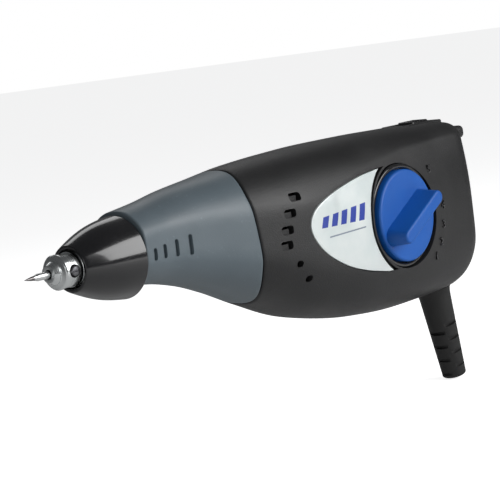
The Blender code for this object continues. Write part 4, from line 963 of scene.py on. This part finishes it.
def clamp_screw():
    """The slotted screw in the collar; its thread is a row of grooves."""
    matrix = frame_matrix((SCREW_X, 0, 0), axes(Vector((0, -1, 0)), Vector((1, 0, 0))))
    profile = [(0.0, 5.6), (0.7, 5.58), (1.2, 5.45), (1.42, 5.2), (1.45, 5.0), (1.45, 4.0)]
    for i in range(5):
        z = 3.8 - 0.36 * i
        profile += [(1.28, z), (1.45, z - 0.18)]
    profile += [(1.0, 1.35), (0.0, 1.35)]
    screw = turned("point_clamp_screw", profile, matrix, 64, closed=False)
    slot = box("slot", (-3, -0.24, 4.8), (3, 0.24, 7), matrix)
    combine(screw, [slot])
    show(screw, "clamp_screw", "dark_steel", "dark_steel", "clamp_screw", angle=25)


def engraving_point():
    """The needle: a straight shank and a drawn-in tip."""
    profile = [(0.0, 15.2), (0.85, 15.2), (1.05, 14.9), (1.05, 4.9), (0.95, 4.4), (0.78, 3.8),
               (0.64, 3.2), (0.58, 2.6), (0.55, 2.4), (0.33, 1.2), (0.12, 0.2), (0.05, 0.03),
               (0.0, 0.0)]
    point = turned("engraving_needle", profile, segments=48, closed=False)
    show(point, "point", "needle", "carbide", "engraving_point", angle=40)


# ---------------------------------------------------------------- dial, label and numbers

def grip_bar():
    """The bar across the dial: drafted sides, round ends and a rounded top edge."""
    foot, shoulder = 0.4, BAR_HEIGHT - BAR_EDGE
    levels = [(-0.5, 0.0), (foot, 0.0)]
    levels += [(foot + t * (shoulder - foot), 0.0) for t in (0.25, 0.5, 0.75, 1.0)]
    levels += [(shoulder + BAR_EDGE * math.sin(a), BAR_EDGE * (1 - math.cos(a)))
               for a in np.linspace(0.15, math.pi / 2, 6)]
    bm = bmesh.new()
    rows = []
    for level, inset in levels:
        t = min(max(level / shoulder, 0.0), 1.0)
        radius = (BAR_FOOT_WIDTH + t ** 0.7 * (BAR_TOP_WIDTH - BAR_FOOT_WIDTH)) / 2 - inset
        shrink = 0.5 * t + inset
        outline = arc((BAR_HEEL + shrink + radius, 0.0), radius, 90, 270, 24)
        outline += arc((BAR_TIP - shrink - radius, 0.0), radius, -90, 90, 24)
        rows.append([bm.verts.new((x, y, level)) for x, y in outline])
    for low, high in zip(rows, rows[1:]):
        band(bm, low, high)
    bm.faces.new(rows[0])
    bm.faces.new(rows[-1])
    return solid("bar", bm, DIAL @ Matrix.Rotation(POINTER_ANGLE, 4, "Z"))


def stroke_dial():
    """The dial's disc with its hub and hollow back, joined with the bar."""
    r, rim = DIAL_RADIUS, 0.9
    profile = [(0.0, 0.0), (r - rim, 0.0)]
    profile += arc((r - rim, -rim), rim, 82, 8, 6)
    profile += [(r, -rim), (r, -DIAL_THICK), (r - 1.6, -DIAL_THICK), (r - 1.6, -2.2),
                (4.6, -2.2), (4.6, -DIAL_THICK), (2.4, -DIAL_THICK), (2.4, -1.4), (0.0, -1.4)]
    disc = turned("stroke_selector_dial", profile, DIAL, 160)
    combine(disc, [grip_bar()], "UNION")
    show(disc, "dial", "blue_plastic", "blue_plastic", "stroke_dial")


def dial_bezel():
    """The ring round the dial, with a flange and a floor behind the disc."""
    inner = DIAL_RADIUS + BEZEL_GAP
    flange = WELL_RADIUS - GAP
    face = -BEZEL_DROP
    profile = [(flange, face - 0.5), (flange, -FLANGE_DEPTH), (BEZEL_FLANGE, -FLANGE_DEPTH),
               (BEZEL_FLANGE, -7.3), (3.52, -7.3), (3.52, -5.4), (inner, -5.4), (inner, face - 0.4)]
    profile += arc((inner + 0.4, face - 0.4), 0.4, 160, 100, 4)
    profile += arc((flange - 0.5, face - 0.5), 0.5, 80, 10, 5)
    bezel = turned("dial_bezel_ring", profile, DIAL, 160)
    show(bezel, "housing", "gloss_black", "gloss_black", "dial_bezel")


def dial_numbers():
    """Raised setting numbers round the dial's rear side, all one moulded piece."""
    marks = []
    for degrees, text in NUMBERS:
        curve = bpy.data.curves.new("mark", "FONT")
        curve.body = text
        curve.size = NUMBER_SIZE * MM
        curve.extrude = NUMBER_RAISED * MM
        curve.bevel_depth = 0.05 * MM
        curve.bevel_resolution = 1
        curve.align_x, curve.align_y = "CENTER", "CENTER"
        glyph = new_object("mark", curve)
        angle = math.radians(degrees)
        x = DIAL_X + NUMBER_CIRCLE * math.cos(angle)
        z = DIAL_Z + NUMBER_CIRCLE * math.sin(angle)
        surface = half_at(x, z)
        behind = half_at(x + 2.0, z)
        lean = math.atan2(surface - behind, 2.0)
        turn = axes(Vector((math.sin(lean), -math.cos(lean), 0.0)),
                    Vector((math.cos(lean), math.sin(lean), 0.0)))
        spot = ORIGIN + Vector((x, -surface, z)) * MM
        glyph.matrix_world = Matrix.Translation(spot) @ turn.to_4x4()
        marks.append(glyph)
    bpy.context.view_layer.update()
    graph = bpy.context.evaluated_depsgraph_get()
    bm = bmesh.new()
    for glyph in marks:
        mesh = bpy.data.meshes.new_from_object(glyph.evaluated_get(graph))
        mesh.transform(glyph.matrix_world)
        bm.from_mesh(mesh)
        bpy.data.meshes.remove(mesh)
        bpy.data.objects.remove(glyph)
    bmesh.ops.remove_doubles(bm, verts=bm.verts, dist=1e-7)
    mesh = bpy.data.meshes.new("dial_numbers")
    bm.to_mesh(mesh)
    bm.free()
    show(new_object("dial_numbers", mesh), "housing", "gloss_black", "gloss_black")


def label_plate():
    """The plate itself, slightly proud of the side."""
    plate = label_solid("side_label_plate", 0.0, LABEL_THICK, LABEL_PROUD)
    soften(plate, 0.12, 2, 60)
    show(plate, "housing", "label", "label", "label_plate")


# ---------------------------------------------------------------- switch, cord exit, screws

def power_switch():
    """The slide switch: a grooved button on a cover that closes its slot."""
    button = box("rear_power_switch", (BUTTON_FRONT, -3.2, 15.8), (BUTTON_REAR, 3.2, BUTTON_TOP))
    soften(button, 0.5, 4)
    cover = box("cover", (168.6, -5.2, 15.0), (185.8, 5.2, 16.2))
    tongue = box("tongue", (179.2, -1.2, 11.0), (181.6, 1.2, 15.6))
    combine(button, [cover, tongue], "UNION")
    pitch = (BUTTON_REAR - BUTTON_FRONT) / (BUTTON_GROOVES + 1)
    grooves = []
    for i in range(1, BUTTON_GROOVES + 1):
        x, z = BUTTON_FRONT + pitch * i, BUTTON_TOP + 0.1
        grooves.append(rod("groove", (x, -5, z), (x, 5, z), 0.5, segments=24))
    combine(button, grooves)
    show(button, "switch", "gloss_black", "black_plastic", "power_switch")


def strain_relief():
    """The tapered boot on its oval heel, with flex slots turned a quarter in turn."""
    profile = [(0.0, BOOT_END), (BOOT_END_RADIUS - 0.5, BOOT_END)]
    profile += arc((BOOT_END_RADIUS - 0.6, BOOT_END - 0.6), 0.6, 80, 10, 4)
    for t in np.linspace(1.0, 0.0, 26):
        along = HEEL_TOP + 1.0 + t * (BOOT_END - 0.8 - HEEL_TOP - 1.0)
        root = 0.9 * math.exp(-(along - HEEL_TOP - 1.0) / 1.1)
        profile.append((BOOT_ROOT_RADIUS + root - t * (BOOT_ROOT_RADIUS - BOOT_END_RADIUS), along))
    profile += [(4.9, HEEL_TOP + 0.4), (4.9, 0.0), (4.2, -0.8), (4.2, -17.5), (0.0, -17.5)]
    boot = turned("cord_strain_relief", profile, BOOT, 96, closed=False)
    heel = prism("heel", heel_outline(), -HEEL_SUNK, HEEL_TOP, BOOT)
    soften(heel, 0.8, 4, 50)
    combine(boot, [heel], "UNION")
    cutters = [rod("bore", (0, 0, -30), (0, 0, 50), BOOT_BORE, BOOT)]
    for i in range(BOOT_RIBS):
        first = RIB_START + RIB_PITCH * i
        second = first + RIB_OFFSET
        for low, high in ((-12, -RIB_DEEP), (RIB_DEEP, 12)):
            cutters.append(box("flex", (-12, low, first), (12, high, first + RIB_SLOT), BOOT))
            cutters.append(box("flex", (low, -12, second), (high, 12, second + RIB_SLOT), BOOT))
    combine(boot, cutters)
    show(boot, "housing", "rubber", "rubber", "strain_relief")


def housing_screws():
    """Four cross-head screws, seen at the bottom of their seats on the +Y side."""
    for i, (x, z) in enumerate(SHELL_BOSSES, 1):
        matrix = frame_matrix((x, 0, z), axes(Vector((0, 1, 0)), Vector((0, 0, 1))))
        profile = [(0.0, 12.9), (1.2, 12.88), (2.0, 12.7), (2.35, 12.4), (2.45, 12.0),
                   (2.45, 10.8), (1.3, 10.8), (1.3, -8.3), (0.0, -9.5)]
        screw = turned("shell_screw_%d" % i, profile, matrix, 48, closed=False)
        arms = [box("arm", (-1.3, -0.3, 11.7), (1.3, 0.3, 14), matrix),
                box("arm", (-0.3, -1.3, 11.7), (0.3, 1.3, 14), matrix)]
        combine(screw, arms)
        show(screw, "housing", "steel", "steel", "housing_screw_%d" % i)


# ---------------------------------------------------------------- carried-over CAD nodes

SLOT_OF_NODE = {part["node"]: part["material_slot"] for part in frame["record"]["subparts"]}


def dress_cad_nodes():
    """Procedural materials on the inner parts that keep their CAD shape."""
    for name, obj in NODES.items():
        slot = SLOT_OF_NODE[name]
        material = "laminations" if name == "core_stack" else slot
        obj.data.materials.clear()
        obj.data.materials.append(MATERIALS[material])


add_camera()
add_world()
for softbox in SOFTBOXES:
    add_softbox(*softbox)
add_floor()
dress_cad_nodes()
housing_halves()
grip_sleeve()
nose_cone()
chuck()
clamp_screw()
engraving_point()
stroke_dial()
dial_bezel()
dial_numbers()
label_plate()
power_switch()
strain_relief()
housing_screws()
